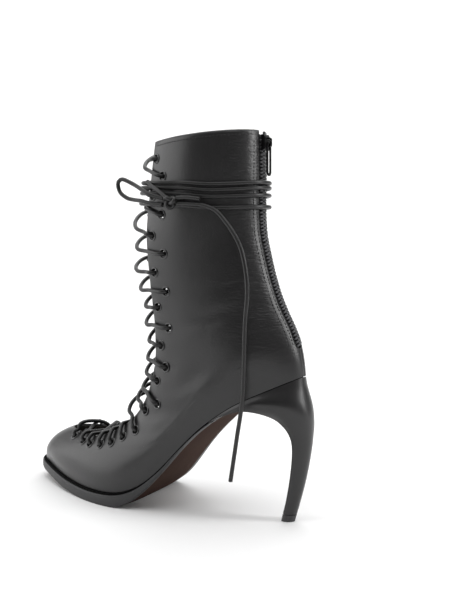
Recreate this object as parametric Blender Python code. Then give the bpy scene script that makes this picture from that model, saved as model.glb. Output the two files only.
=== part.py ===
# Lace-up ankle boot with a high curved heel, left foot, standing empty on its sole.
# Tables are in millimetres: X forward from the back of the heel seat, Y to the outer side, Z up from the
# floor.
# Finished meshes are in metres with the origin under the middle of the boot.

import math

import bmesh
import bpy
import numpy as np
from mathutils import Vector
from mathutils.bvhtree import BVHTree

MM = 0.001
MERGE_DISTANCE = 0.000005
BOX_MID_X = 119.0
BOX_MID_Y = -0.5
CLEAR = 0.3
WALL = 1.8

# Girth lines of the upper, from the feather line to the collar.
# front_x, front_z, front_y, back_x, back_z, follow (share of the sole's sag), half gap of the throat, half
# gap of the zip
LEVELS = [
    (241.2, 16.0, -7.0, 0.2, 105.0, 1.00, 0.0, 0.0),
    (238.2, 26.4, -6.8, 1.0, 111.5, 0.96, 0.0, 0.0),
    (227.4, 36.8, -6.0, 2.4, 119.5, 0.90, 0.0, 0.0),
    (208.0, 45.8, -4.6, 4.9, 128.5, 0.80, 18.0, 3.3),
    (182.4, 51.0, -3.0, 9.2, 138.5, 0.66, 20.5, 3.3),
    (158.2, 59.0, -1.6, 15.0, 149.5, 0.50, 21.0, 3.3),
    (139.4, 74.0, -0.6, 20.3, 161.0, 0.36, 21.2, 3.3),
    (130.0, 97.0, 0.0, 24.8, 174.0, 0.25, 22.6, 3.3),
    (130.0, 127.0, 0.0, 28.6, 188.0, 0.16, 23.2, 3.3),
    (135.6, 161.0, 0.0, 32.4, 205.0, 0.09, 25.2, 3.3),
    (139.0, 197.0, 0.0, 33.6, 224.0, 0.04, 26.6, 3.3),
    (133.0, 234.0, 0.0, 33.6, 247.0, 0.02, 26.4, 3.3),
    (125.5, 268.0, 0.0, 33.8, 275.5, 0.00, 25.2, 3.3),
]

# Half widths along each girth line at the stations below, outer side then inner side.
STATIONS = (0.06, 0.20, 0.40, 0.62, 0.85)
HALF_WIDTHS = [
    ((14.0, 29.8, 41.0, 31.2, 25.6), (13.6, 29.4, 36.8, 27.4, 25.6)),
    ((16.6, 31.6, 42.2, 33.0, 27.0), (16.2, 31.0, 38.2, 29.6, 27.0)),
    ((15.6, 30.6, 40.0, 33.6, 28.2), (15.4, 29.8, 36.8, 31.2, 28.2)),
    ((11.8, 26.6, 35.6, 33.2, 28.8), (11.8, 26.2, 33.8, 31.6, 28.8)),
    ((10.4, 24.2, 32.2, 32.8, 28.4), (10.4, 24.0, 31.4, 32.0, 28.4)),
    ((11.2, 23.6, 31.0, 32.2, 27.2), (11.2, 23.6, 30.8, 32.0, 27.2)),
    ((12.2, 23.8, 30.2, 31.2, 25.6), (12.2, 23.8, 30.2, 31.2, 25.6)),
    ((13.2, 24.0, 29.6, 30.2, 24.2), (13.2, 24.0, 29.6, 30.2, 24.2)),
    ((13.2, 23.4, 29.2, 29.8, 23.4), (13.2, 23.4, 29.2, 29.8, 23.4)),
    ((13.6, 24.2, 30.6, 30.8, 23.4), (13.6, 24.2, 30.6, 30.8, 23.4)),
    ((14.0, 25.0, 31.8, 32.2, 24.0), (14.0, 25.0, 31.8, 32.2, 24.0)),
    ((14.2, 25.4, 32.4, 32.8, 24.4), (14.2, 25.4, 32.4, 32.8, 24.4)),
    ((14.2, 25.4, 32.4, 32.8, 24.4), (14.2, 25.4, 32.4, 32.8, 24.4)),
]
THROAT_END_LEVEL = 2.95
THROAT_ROUND = 0.40
ZIP_END_LEVEL = 2.55
ZIP_ROUND = 0.15
TOP_LEVEL = 12.0
LEVEL_STEP = 0.05
ROWS = (
    0.0, 0.4, 0.9, 1.5, 2.1, 2.55, 2.75, 2.95, 3.03, 3.15, 3.35, 3.65, 4.0, 4.5, 5.0, 5.5, 6.0, 6.6, 7.2,
    7.8, 8.5, 9.2, 9.9, 10.6, 11.3, TOP_LEVEL,
)
COLUMNS = 19

# Feather line where the upper meets the sole: x, height.
FEATHER = [
    (0.2, 105.0), (20.0, 95.8), (40.0, 86.0), (55.0, 76.3), (70.0, 64.5), (85.0, 50.0), (100.0, 33.8),
    (113.0, 21.8), (125.0, 14.4), (138.0, 10.8), (155.0, 9.7), (175.0, 9.7), (195.0, 11.0), (215.0, 13.2),
    (230.0, 15.0), (240.0, 16.0), (247.0, 16.8),
]


def smooth(points, at):
    """Catmull-Rom value at a place along a table of (place, value) rows."""
    xs = [p[0] for p in points]
    at = min(max(at, xs[0]), xs[-1])
    k = 0
    while k < len(xs) - 2 and at > xs[k + 1]:
        k += 1
    span = xs[k + 1] - xs[k]
    t = (at - xs[k]) / span
    y0 = points[k][1]
    y1 = points[k + 1][1]
    m0 = (y1 - y0) / span
    m1 = m0
    if k > 0:
        m0 = (y1 - points[k - 1][1]) / (xs[k + 1] - xs[k - 1])
    if k < len(xs) - 2:
        m1 = (points[k + 2][1] - y0) / (xs[k + 2] - xs[k])
    h = t * t * (3.0 - 2.0 * t)
    return y0 * (1 - h) + y1 * h + span * (m0 * t * (1 - t) ** 2 - m1 * t * t * (1 - t))


def level_value(column, level):
    return smooth([(k, row[column]) for k, row in enumerate(LEVELS)], level)


def feather_height(x):
    return smooth(FEATHER, x)


def roundness(c):
    return 2.0 * math.sqrt(max(c * (1.0 - c), 0.0))


def fullness(side, level, c):
    """Half width divided by the rounding of the two ends, smooth in level and along the line."""
    column = 0 if side > 0 else 1
    rows = []
    for n, place in enumerate(STATIONS):
        value = smooth([(k, row[column][n]) for k, row in enumerate(HALF_WIDTHS)], level)
        rows.append((place, value / roundness(place)))
    return smooth(rows, c)


def upper_point(side, level, c):
    """Point on the outside of the upper at a girth level and a share c from front to back."""
    fx = level_value(0, level)
    fz = level_value(1, level)
    fy = level_value(2, level)
    bx = level_value(3, level)
    bz = level_value(4, level)
    toe = LEVELS[0]
    x = fx + (bx - fx) * c
    sole_x = toe[0] + (toe[3] - toe[0]) * c
    sag = feather_height(sole_x) - (toe[1] + (toe[4] - toe[1]) * c)
    z = fz + (bz - fz) * c + level_value(5, level) * sag
    y = fy * (1.0 - c) ** 2 + side * fullness(side, level, c) * roundness(c)
    return np.array((x, y, z))


NORMAL_STEP = 0.004


def upper_normal(side, level, c):
    """Outward unit normal, from small steps along and across the girth line."""
    s = math.acos(1.0 - 2.0 * c) / math.pi
    step = NORMAL_STEP
    a = (1.0 - math.cos(math.pi * (s + step))) / 2.0
    if s >= step:
        b = (1.0 - math.cos(math.pi * (s - step))) / 2.0
        along = upper_point(side, level, a) - upper_point(side, level, b)
    else:
        along = np.array((0.0, side * 1.0, 0.0))
    if s > 1.0 - step:
        along = np.array((0.0, -side * 1.0, 0.0))
    above = upper_point(side, min(level + LEVEL_STEP, TOP_LEVEL), c)
    up = above - upper_point(side, max(level - LEVEL_STEP, 0.0), c)
    normal = np.cross(along, up) * side
    return normal / np.linalg.norm(normal)


def half_gap(level, end, length, column):
    if level <= end:
        return 0.0
    t = min((level - end) / length, 1.0)
    return level_value(column, level) * math.sqrt(1.0 - (1.0 - t) ** 2)


def edge_share(side, level, gap, from_front):
    """Share c at which the line is a given half gap away from the front or back centre."""
    if gap <= 0.0:
        return 0.0 if from_front else 1.0
    low = 0.0
    high = 0.4
    for _ in range(40):
        mid = (low + high) / 2.0
        c = mid if from_front else 1.0 - mid
        if fullness(side, level, c) * roundness(c) < gap:
            low = mid
        else:
            high = mid
    return low if from_front else 1.0 - low


def line_shares(side, level, count):
    """Shares along one girth line from the throat edge to the zip edge, evenly by angle."""
    c0 = edge_share(side, level, half_gap(level, THROAT_END_LEVEL, THROAT_ROUND, 6), True)
    c1 = edge_share(side, level, half_gap(level, ZIP_END_LEVEL, ZIP_ROUND, 7), False)
    s0 = math.acos(1.0 - 2.0 * c0)
    s1 = math.acos(1.0 - 2.0 * c1)
    return [(1.0 - math.cos(s0 + (s1 - s0) * n / (count - 1))) / 2.0 for n in range(count)]


def metres(p):
    return Vector(((p[0] - BOX_MID_X) * MM, (p[1] - BOX_MID_Y) * MM, p[2] * MM))


def make_material(name, colour, roughness_value, metallic):
    material = bpy.data.materials.new(name)
    material.use_nodes = True
    shader = material.node_tree.nodes["Principled BSDF"]
    shader.inputs["Base Color"].default_value = (*colour, 1.0)
    shader.inputs["Roughness"].default_value = roughness_value
    shader.inputs["Metallic"].default_value = metallic
    material.diffuse_color = (*colour, 1.0)
    return material


def add_object(name, points, faces, material):
    """Closed mesh object from millimetre points, doubles merged and faces turned outward."""
    mesh = bpy.data.meshes.new(name)
    bm = bmesh.new()
    verts = [bm.verts.new(metres(p)) for p in points]
    for face in faces:
        if len(set(face)) == len(face):
            bm.faces.new([verts[n] for n in face])
    bmesh.ops.remove_doubles(bm, verts=bm.verts, dist=MERGE_DISTANCE)
    bmesh.ops.recalc_face_normals(bm, faces=bm.faces)
    bm.to_mesh(mesh)
    bm.free()
    mesh.materials.append(material)
    obj = bpy.data.objects.new(name, mesh)
    bpy.context.scene.collection.objects.link(obj)
    return obj


def loft(sections):
    """Faces joining closed loops of equal length, with both ends capped by fans of quads and triangles."""
    count = len(sections[0])
    points = [p for section in sections for p in section]
    faces = []
    for k in range(len(sections) - 1):
        for n in range(count):
            m = (n + 1) % count
            faces.append((k * count + n, k * count + m, (k + 1) * count + m, (k + 1) * count + n))
    for base in (0, (len(sections) - 1) * count):
        for n in range(count // 2):
            a = base + n
            b = base + n + 1
            c = base + count - 2 - n
            d = base + count - 1 - n
            faces.append((a, b, c, d) if b != c else (a, b, d))
    return points, faces


for old in list(bpy.data.objects):
    bpy.data.objects.remove(old, do_unlink=True)

LEATHER = make_material("black_leather", (0.045, 0.044, 0.046), 0.38, 0.0)
INSOLE_LEATHER = make_material("insole_leather", (0.30, 0.26, 0.22), 0.6, 0.0)
SOLE_LEATHER = make_material("sole_leather", (0.09, 0.055, 0.042), 0.55, 0.0)
WELT_LEATHER = make_material("welt_leather", (0.03, 0.03, 0.032), 0.5, 0.0)
TIP_RUBBER = make_material("tip_rubber", (0.06, 0.06, 0.06), 0.6, 0.0)
ZIP_FABRIC = make_material("zip_fabric", (0.02, 0.02, 0.022), 0.7, 0.0)
ZIP_METAL = make_material("zip_metal", (0.16, 0.16, 0.17), 0.35, 1.0)
EYELET_METAL = make_material("eyelet_metal", (0.035, 0.035, 0.038), 0.3, 1.0)
LACE_LEATHER = make_material("lace_leather", (0.03, 0.03, 0.031), 0.45, 0.0)


def build_upper():
    outer = {}
    inner = {}
    for side in (1, -1):
        for j, level in enumerate(ROWS):
            for i, c in enumerate(line_shares(side, level, COLUMNS)):
                p = upper_point(side, level, c)
                n = upper_normal(side, level, c)
                if j == 0:
                    n = np.array((n[0], n[1], 0.0)) / math.hypot(n[0], n[1])
                q = p - WALL * n
                if j == 0:
                    q[2] = feather_height(q[0])
                outer[side, j, i] = p
                inner[side, j, i] = q
    points = []
    index = {}
    for skin, grid in (("out", outer), ("in", inner)):
        for key, p in grid.items():
            index[skin, key] = len(points)
            points.append(p)
    faces = []
    last_row = len(ROWS) - 1
    last_column = COLUMNS - 1
    for side in (1, -1):
        for j in range(last_row):
            for i in range(last_column):
                for skin in ("out", "in"):
                    faces.append((index[skin, (side, j, i)], index[skin, (side, j, i + 1)],
                                  index[skin, (side, j + 1, i + 1)], index[skin, (side, j + 1, i)]))
        for j in (0, last_row):
            for i in range(last_column):
                faces.append((index["out", (side, j, i)], index["out", (side, j, i + 1)],
                              index["in", (side, j, i + 1)], index["in", (side, j, i)]))
        for i, end in ((0, THROAT_END_LEVEL), (last_column, ZIP_END_LEVEL)):
            for j in range(last_row):
                if ROWS[j] >= end:
                    faces.append((index["out", (side, j, i)], index["out", (side, j + 1, i)],
                                  index["in", (side, j + 1, i)], index["in", (side, j, i)]))
    return add_object("upper", points, faces, LEATHER)


upper = build_upper()


# Underside of the sole on its centre line: x, height.
SOLE_BOTTOM = [
    (37.0, 80.4), (48.0, 77.2), (58.0, 72.2), (70.0, 61.4), (85.0, 46.6), (100.0, 29.6), (113.0, 15.0),
    (121.0, 7.0), (127.0, 2.4), (132.0, 0.4), (137.0, 0.0), (172.0, 0.0), (186.0, 0.9), (200.0, 2.4),
    (215.0, 4.6), (230.0, 6.8), (247.0, 9.4),
]
# Height of the sole edge with the welt under the feather line: x, height.
SOLE_EDGE = [
    (37.0, 1.4), (75.0, 1.5), (90.0, 2.4), (100.0, 3.8), (113.0, 6.4), (125.0, 8.8), (138.0, 11.0),
    (247.0, 11.0),
]
# How far the sole edge stands out from the feather line: x, reach.
SOLE_REACH = [
    (37.0, -3.2), (63.0, -3.2), (70.0, -0.6), (80.0, 0.0), (95.0, 0.3), (112.0, 1.6), (128.0, 2.6),
    (200.0, 2.8), (240.0, 3.0), (247.0, 3.0),
]
WELT_REACH_LESS = 0.5
WELT_END_X = 97.0
WELT_HEIGHT = [(97.0, 0.9), (112.0, 1.6), (128.0, 2.2), (247.0, 2.2)]
BREAST_X = 38.0
STEP_START = 0.1
STEP_END = 0.6
WAIST_START_X = 91.0
WAIST_CLEAR = 0.9
CROWN_START_X = 62.0
CROWN_POWER = 3
TONGUE_END_X = 63.0
TOE_SHARES = (
    0.0, 0.004, 0.014, 0.032, 0.058, 0.095, 0.14, 0.19, 0.24, 0.29, 0.335, 0.38, 0.42, 0.455, 0.485,
    0.515, 0.545, 0.572,
)
ACROSS = (0.0, 0.15, 0.5, 0.85, 1.0)
INSOLE_INSET = 3.4
INSOLE_THICK = 2.0
INSOLE_RISE = 0.5


def share_at(x):
    return (LEVELS[0][0] - x) / (LEVELS[0][0] - LEVELS[0][3])


def outline_point(side, c, reach):
    """Plan point on the feather line moved outward by a reach, square to the line."""
    s = math.acos(1.0 - 2.0 * min(max(c, 0.0), 1.0))
    step = 0.02
    p = upper_point(side, 0.0, c)
    if s < step:
        return np.array((p[0] + reach, p[1]))
    if s > math.pi - step:
        return np.array((p[0] - reach, p[1]))
    a = upper_point(side, 0.0, (1.0 - math.cos(s - step)) / 2.0)
    b = upper_point(side, 0.0, (1.0 - math.cos(s + step)) / 2.0)
    along = (b - a)[:2]
    normal = np.array((along[1], -along[0])) * side
    return p[:2] + reach * normal / np.linalg.norm(normal)


def slab(name, shares, reach, top, bottom, material):
    """Plate between two plan edges, with top and bottom heights given along and across the foot."""
    rows = []
    for c in shares:
        x_mid = LEVELS[0][0] + (LEVELS[0][3] - LEVELS[0][0]) * c
        left = outline_point(1, c, reach(x_mid))
        right = outline_point(-1, c, reach(x_mid))
        row = []
        for q in ACROSS:
            xy = right + (left - right) * q
            row.append((xy[0], xy[1], q))
        rows.append(row)
    points = []
    for row in rows:
        for x, y, q in row:
            points.append((x, y, top(x, q)))
        for x, y, q in row:
            points.append((x, y, bottom(x, q)))
    wide = len(ACROSS)
    faces = []
    for j in range(len(rows) - 1):
        a = j * 2 * wide
        b = a + 2 * wide
        for k in range(wide - 1):
            faces.append((a + k, a + k + 1, b + k + 1, b + k))
            faces.append((a + wide + k, a + wide + k + 1, b + wide + k + 1, b + wide + k))
        for k in (0, wide - 1):
            faces.append((a + k, b + k, b + wide + k, a + wide + k))
    for a in (0, (len(rows) - 1) * 2 * wide):
        for k in range(wide - 1):
            faces.append((a + k, a + k + 1, a + wide + k + 1, a + wide + k))
    return add_object(name, points, faces, material)


def sole_reach(x):
    return smooth(SOLE_REACH, x)


def welt_reach(x):
    return smooth(SOLE_REACH, x) - WELT_REACH_LESS


def welt_top(x, q):
    return feather_height(x) - CLEAR


def welt_bottom(x, q):
    return feather_height(x) - CLEAR - smooth(WELT_HEIGHT, x)


def sole_top(x, q):
    if x > WELT_END_X - CLEAR:
        return feather_height(x) - 2.0 * CLEAR - smooth(WELT_HEIGHT, x)
    return feather_height(x) - WAIST_CLEAR


def sole_bottom(x, q):
    centre = smooth(SOLE_BOTTOM, x)
    edge = max(feather_height(x) - smooth(SOLE_EDGE, x), centre)
    crown = abs(2.0 * q - 1.0) ** CROWN_POWER
    if x < CROWN_START_X:
        crown = 0.0
    return max(centre + (edge - centre) * crown, 0.0)


def insole_top(x, q):
    return feather_height(x) + INSOLE_RISE + INSOLE_THICK


def insole_bottom(x, q):
    return feather_height(x) + INSOLE_RISE


def shares_between(first_x, last_x, count):
    return [share_at(first_x + (last_x - first_x) * n / (count - 1)) for n in range(count)]


WELT_SHARES = list(TOE_SHARES) + [share_at(WELT_END_X)]
SOLE_SHARES = list(TOE_SHARES) + [share_at(WELT_END_X - STEP_START), share_at(WELT_END_X - STEP_END)]
SOLE_SHARES += shares_between(WAIST_START_X, BREAST_X, 11)
INSOLE_SHARES = [
    0.016, 0.03, 0.055, 0.09, 0.14, 0.2, 0.27, 0.34, 0.41, 0.48, 0.54, 0.6, 0.66, 0.72, 0.78, 0.84, 0.89,
    0.93, 0.96, 0.98,
]

welt = slab("welt", WELT_SHARES, welt_reach, welt_top, welt_bottom, WELT_LEATHER)
outsole = slab("outsole", SOLE_SHARES, sole_reach, sole_top, sole_bottom, SOLE_LEATHER)
insole = slab("insole", INSOLE_SHARES, lambda x: -INSOLE_INSET, insole_top, insole_bottom, INSOLE_LEATHER)

# Heel sections from the tip up to the seat.
# rear_x, rear_z, front_x, front_z, half_width, seat (share of the seat outline in the section)
HEEL = [
    (7.3, 0.0, 15.9, 0.0, 5.0, 0.0),
    (5.7, 5.5, 14.6, 5.5, 5.1, 0.0),
    (3.0, 15.0, 12.3, 14.2, 5.5, 0.0),
    (-0.4, 28.0, 9.8, 27.0, 6.1, 0.0),
    (-3.3, 42.0, 7.8, 40.5, 6.9, 0.0),
    (-5.3, 55.0, 6.8, 52.5, 8.0, 0.0),
    (-6.1, 64.0, 7.6, 61.0, 9.4, 0.0),
    (-6.3, 71.0, 10.8, 68.5, 11.6, 0.05),
    (-5.6, 78.5, 17.0, 75.0, 14.6, 0.15),
    (-4.2, 85.0, 26.5, 79.2, 18.0, 0.42),
    (-2.4, 91.5, 37.5, 80.4, 21.5, 0.72),
    (-0.8, 98.0, 49.0, 77.2, 24.0, 0.93),
    (0.2, 104.7, 62.0, 70.6, 25.5, 1.00),
]
SEAT_CLEAR = 0.5
BREAST_NARROW = 0.82
BREAST_BLEND = 0.3
REAR_POWER = 3
HEEL_SHARES = (0.0, 0.1, 0.22, 0.36, 0.5, 0.64, 0.77, 0.88, 0.96, 1.0)


def heel_section(place):
    """Closed loop of a heel section, front to rear on the outer side and back on the inner side."""
    columns = [[(k, row[n]) for k, row in enumerate(HEEL)] for n in range(len(HEEL[0]))]
    rear_x, rear_z, front_x, front_z, half, seat = (smooth(column, place) for column in columns)
    loop = []
    for side in (1, -1):
        line = []
        for e in HEEL_SHARES:
            x = front_x + (rear_x - front_x) * e
            z = front_z + (rear_z - front_z) * e
            seat_x = HEEL[-1][2] + (HEEL[-1][0] - HEEL[-1][2]) * e
            straight = HEEL[-1][3] + (HEEL[-1][1] - HEEL[-1][3]) * e
            z += seat * (feather_height(seat_x) - SEAT_CLEAR - straight)
            narrow = BREAST_NARROW + (1.0 - BREAST_NARROW) * min(e / BREAST_BLEND, 1.0)
            plain = half * narrow * math.sqrt(max(1.0 - e ** REAR_POWER, 0.0))
            seat_y = abs(upper_point(side, 0.0, min(share_at(seat_x), 1.0))[1])
            line.append((x, side * (plain * (1.0 - seat) + seat_y * seat), z))
        if side > 0:
            loop += line
        else:
            loop += line[-2::-1]
    return loop


def heel_solid(name, places, material):
    points, faces = loft([heel_section(place) for place in places])
    return add_object(name, points, faces, material)


heel_tip = heel_solid("heel_tip", (0.0, 0.93), TIP_RUBBER)
HEEL_PLACES = (1.0, 2.0, 3.0, 4.0, 5.0, 5.6, 6.2, 6.8, 7.4, 8.0, 8.6, 9.2, 9.8, 10.4, 11.0, 11.5, 12.0)
heel = heel_solid("heel", HEEL_PLACES, LEATHER)


def apply_boolean(target, cutter, operation):
    """Exact Boolean of two mesh objects, with the cutter removed afterwards."""
    modifier = target.modifiers.new("cut", "BOOLEAN")
    modifier.operation = operation
    modifier.solver = "EXACT"
    modifier.use_self = operation == "UNION"
    modifier.object = cutter
    depsgraph = bpy.context.evaluated_depsgraph_get()
    result = bpy.data.meshes.new_from_object(target.evaluated_get(depsgraph))
    target.modifiers.clear()
    target.data = result
    bpy.data.objects.remove(cutter, do_unlink=True)


# The sole's tongue lies between the heel's two wings: the heel is cut clear of it.
SLOT_START_X = 76.0
TONGUE_HIGH = 8.0
TONGUE_LOW = 24.0
slot = slab("slot", shares_between(SLOT_START_X, BREAST_X - CLEAR, 8),
            lambda x: smooth(SOLE_REACH, min(x, TONGUE_END_X)) + CLEAR,
            lambda x, q: feather_height(x) + TONGUE_HIGH,
            lambda x, q: feather_height(x) - TONGUE_LOW, LEATHER)
apply_boolean(heel, slot, "DIFFERENCE")

# Centre-back zip: tape inside the wall, chain standing in the slot.
ZIP_LEVELS = (2.80, 2.95, 3.15, 3.5, 4.0, 4.6, 5.2, 5.8, 6.5, 7.2, 7.9, 8.6, 9.3, 10.0, 10.7, 11.4, 11.93)
TAPE_HALF = 7.0
TAPE_THICK = 0.7
TAPE_CLEAR = 0.55
CHAIN_HALF = 2.5
CHAIN_RISE = 0.6
BACK_STEP = 0.1
LAST_SHARE = 0.9999


def back_frame(level):
    """Point, outward normal and upward tangent on the centre-back line."""
    p = upper_point(1, level, 1.0)
    above = upper_point(1, min(level + BACK_STEP, TOP_LEVEL), 1.0)
    up = above - upper_point(1, max(level - BACK_STEP, 0.0), 1.0)
    up = up / np.linalg.norm(up)
    return p, np.array((-up[2], 0.0, up[0])), up


def back_point(level, y, depth):
    """Point at a sideways distance from the back line, raised from the outer surface by depth."""
    side = 1 if y >= 0.0 else -1
    c = edge_share(side, level, abs(y), False)
    q = upper_point(side, level, c)
    n = upper_normal(side, level, min(c, LAST_SHARE))
    return q + depth * n


def zip_section(level):
    inner = -(WALL + TAPE_CLEAR)
    deep = inner - TAPE_THICK
    p, normal, up = back_frame(level)
    loop = [back_point(level, TAPE_HALF, deep), back_point(level, TAPE_HALF, inner)]
    loop.append(back_point(level, CHAIN_HALF, inner))
    for y in (CHAIN_HALF, -CHAIN_HALF):
        loop.append(p + CHAIN_RISE * normal + np.array((0.0, y, 0.0)))
    loop.append(back_point(level, -CHAIN_HALF, inner))
    loop += [back_point(level, -TAPE_HALF, inner), back_point(level, -TAPE_HALF, deep)]
    return loop


points, faces = loft([zip_section(level) for level in ZIP_LEVELS])
zip_tape = add_object("zip_tape", points, faces, ZIP_FABRIC)

# Slider at the collar with a bail, and the slotted pull that hangs in it.
SLIDER_LEVEL = 11.72
SLIDER_LONG = 11.0
SLIDER_WIDE = 8.0
SLIDER_THICK = 2.6
SLIDER_SHOULDER = 1.82
SLIDER_CHAMFER = 1.5
BAIL_HALF_WIDE = 1.0
BAIL_LONG = 6.4
BAIL_RISE = 3.4
BAIL_BAR = 0.9
BAIL_SINK = 0.4
BAIL_CORNER = 0.8
PULL_LONG = 24.0
PULL_HALF_WIDE = 2.9
PULL_SLOT_HALF = 1.6
PULL_THICK = 1.1
PULL_SEGMENTS = 6


def prism(name, profile, half_wide, place, material):
    """Solid with a profile of (up, out) pairs, the same across the width, at a place on the back."""
    origin, normal, up = place
    points = []
    for y in (half_wide, -half_wide):
        for u, n in profile:
            points.append(origin + u * up + n * normal + np.array((0.0, y, 0.0)))
    count = len(profile)
    faces = [tuple(range(count)), tuple(range(2 * count - 1, count - 1, -1))]
    for k in range(count):
        m = (k + 1) % count
        faces.append((k, m, count + m, count + k))
    return add_object(name, points, faces, material)


base, out, up = back_frame(SLIDER_LEVEL)
slider_place = (base + (CHAIN_RISE + CLEAR) * out, out, up)
half = SLIDER_LONG / 2.0
slider_profile = [
    (-half, 0.0), (half, 0.0), (half, SLIDER_SHOULDER), (half - SLIDER_CHAMFER, SLIDER_THICK),
    (SLIDER_CHAMFER - half, SLIDER_THICK), (-half, SLIDER_SHOULDER),
]
zip_slider = prism("zip_slider", slider_profile, SLIDER_WIDE / 2.0, slider_place, ZIP_METAL)
rise = SLIDER_THICK + BAIL_RISE
low = SLIDER_THICK - BAIL_SINK
arm = BAIL_LONG / 2.0
inside = arm - BAIL_BAR
bail_profile = [
    (-arm, low), (-arm, rise - BAIL_CORNER), (BAIL_CORNER - arm, rise), (arm - BAIL_CORNER, rise),
    (arm, rise - BAIL_CORNER), (arm, low), (inside, low), (inside, rise - BAIL_BAR),
    (-inside, rise - BAIL_BAR), (-inside, low),
]
bail = prism("bail", bail_profile, BAIL_HALF_WIDE, slider_place, ZIP_METAL)
apply_boolean(zip_slider, bail, "UNION")
hinge = slider_place[0] + (SLIDER_THICK + (BAIL_RISE - BAIL_BAR) / 2.0) * out


def stadium(half_wide, top, bottom):
    """Closed long oval of (side, up) pairs."""
    loop = []
    for end, sign in ((top - half_wide, 1.0), (bottom + half_wide, -1.0)):
        for k in range(PULL_SEGMENTS + 1):
            angle = math.pi * k / PULL_SEGMENTS
            loop.append((sign * half_wide * math.cos(angle), end + sign * half_wide * math.sin(angle)))
    return loop


bar = PULL_HALF_WIDE - PULL_SLOT_HALF
outer_loop = stadium(PULL_HALF_WIDE, bar / 2.0, bar / 2.0 - PULL_LONG)
inner_loop = stadium(PULL_SLOT_HALF, -bar / 2.0, 1.5 * bar - PULL_LONG)
points = []
for loop in (outer_loop, inner_loop):
    for n in (PULL_THICK / 2.0, -PULL_THICK / 2.0):
        for y, u in loop:
            points.append(hinge + u * up + n * out + np.array((0.0, y, 0.0)))
count = len(outer_loop)
faces = []
for k in range(count):
    m = (k + 1) % count
    faces.append((k, m, count + m, count + k))
    faces.append((2 * count + k, 2 * count + m, 3 * count + m, 3 * count + k))
    faces.append((k, m, 2 * count + m, 2 * count + k))
    faces.append((count + k, count + m, 3 * count + m, 3 * count + k))
zip_pull = add_object("zip_pull", points, faces, ZIP_METAL)

# Eyelets from the toe to the collar, the same on both sides: level, share along the girth line.
EYELETS = [
    (2.64, 0.094), (2.68, 0.162), (2.73, 0.204), (2.88, 0.254), (3.16, 0.288), (3.66, 0.298), (4.12, 0.324),
    (5.32, 0.253), (5.48, 0.332), (6.48, 0.246), (6.80, 0.311), (7.48, 0.254), (7.80, 0.340), (8.40, 0.262),
    (8.64, 0.364), (9.16, 0.284), (9.48, 0.390), (9.96, 0.294), (10.36, 0.380), (10.82, 0.268),
    (11.20, 0.352), (11.62, 0.250),
]
HOLE_RADIUS = 2.6
HOLE_OUT = 3.0
HOLE_IN = -5.0
HALF_STEP = 0.5
EYELET_BRIM = 0.05
EYELET_LIP = 0.5
EYELET_RADIUS = 4.2
EYELET_BORE = 2.3
EYELET_RISE = 0.8
EYELET_SIDES = 6
CORD_RADIUS = 1.5
RAY_START = 6.0
RAY_LONG = 12.0


def eyelet_frame(side, level, c):
    """Centre on the faceted surface with two tangents and the outward normal."""
    p = upper_point(side, level, c)
    n = upper_normal(side, level, c)
    start = p + RAY_START * n
    hit, facet, index, distance = upper_tree.ray_cast(metres(start), Vector(-n), RAY_LONG * MM)
    if hit is not None:
        p = start - n * (distance / MM)
    along = np.cross(n, (0.0, 0.0, 1.0))
    along = along / np.linalg.norm(along)
    return p, along, np.cross(n, along), n


def ring_points(frame, radius, depth, turn):
    p, a, b, n = frame
    loop = []
    for k in range(EYELET_SIDES):
        angle = 2.0 * math.pi * (k + turn) / EYELET_SIDES
        loop.append(p + radius * (math.cos(angle) * a + math.sin(angle) * b) + depth * n)
    return loop


bpy.context.view_layer.update()
upper_tree = BVHTree.FromObject(upper, bpy.context.evaluated_depsgraph_get())
frames = {}
hole_points = []
hole_faces = []
for side in (1, -1):
    for k, (level, c) in enumerate(EYELETS):
        frame = eyelet_frame(side, level, c)
        frames[side, k] = frame
        base = len(hole_points)
        hole_points += ring_points(frame, HOLE_RADIUS, HOLE_OUT, HALF_STEP)
        hole_points += ring_points(frame, HOLE_RADIUS, HOLE_IN, HALF_STEP)
        hole_faces.append(tuple(base + m for m in range(EYELET_SIDES)))
        hole_faces.append(tuple(base + EYELET_SIDES + m for m in range(EYELET_SIDES)))
        for m in range(EYELET_SIDES):
            o = (m + 1) % EYELET_SIDES
            hole_faces.append((base + m, base + o, base + EYELET_SIDES + o, base + EYELET_SIDES + m))
        profile = (
            (EYELET_BORE, CLEAR),
            (EYELET_RADIUS, CLEAR + EYELET_BRIM),
            (EYELET_BORE + EYELET_LIP, CLEAR + EYELET_RISE),
        )
        points = []
        for radius, depth in profile:
            points += ring_points(frame, radius, depth, HALF_STEP)
        faces = []
        for ring in range(len(profile)):
            following = (ring + 1) % len(profile)
            for m in range(EYELET_SIDES):
                o = (m + 1) % EYELET_SIDES
                faces.append((ring * EYELET_SIDES + m, ring * EYELET_SIDES + o,
                              following * EYELET_SIDES + o, following * EYELET_SIDES + m))
        name = "eyelet_%s_%02d" % ("out" if side > 0 else "in", k + 1)
        add_object(name, points, faces, EYELET_METAL)
holes = add_object("holes", hole_points, hole_faces, LEATHER)
apply_boolean(upper, holes, "DIFFERENCE")

# Criss-cross lacing: strands over the throat, the ones that rise to the inner side and the ones that rise to
# the outer side, joined where they cross and where they share an eyelet.
EYELET_ROOM = 0.7
OVER_EYELET = CLEAR + EYELET_RISE + CLEAR + CORD_RADIUS + EYELET_ROOM
STRAND_STEPS = 5
FIRST_SHAFT_STRAND = 5
EDGE_ALONG = 0.2
EDGE_ROOM = 1.4
OVER_EDGE = CORD_RADIUS + CLEAR + EDGE_ROOM
STRAND_STUB = 0.8
CORD_SIDES = 5
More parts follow.
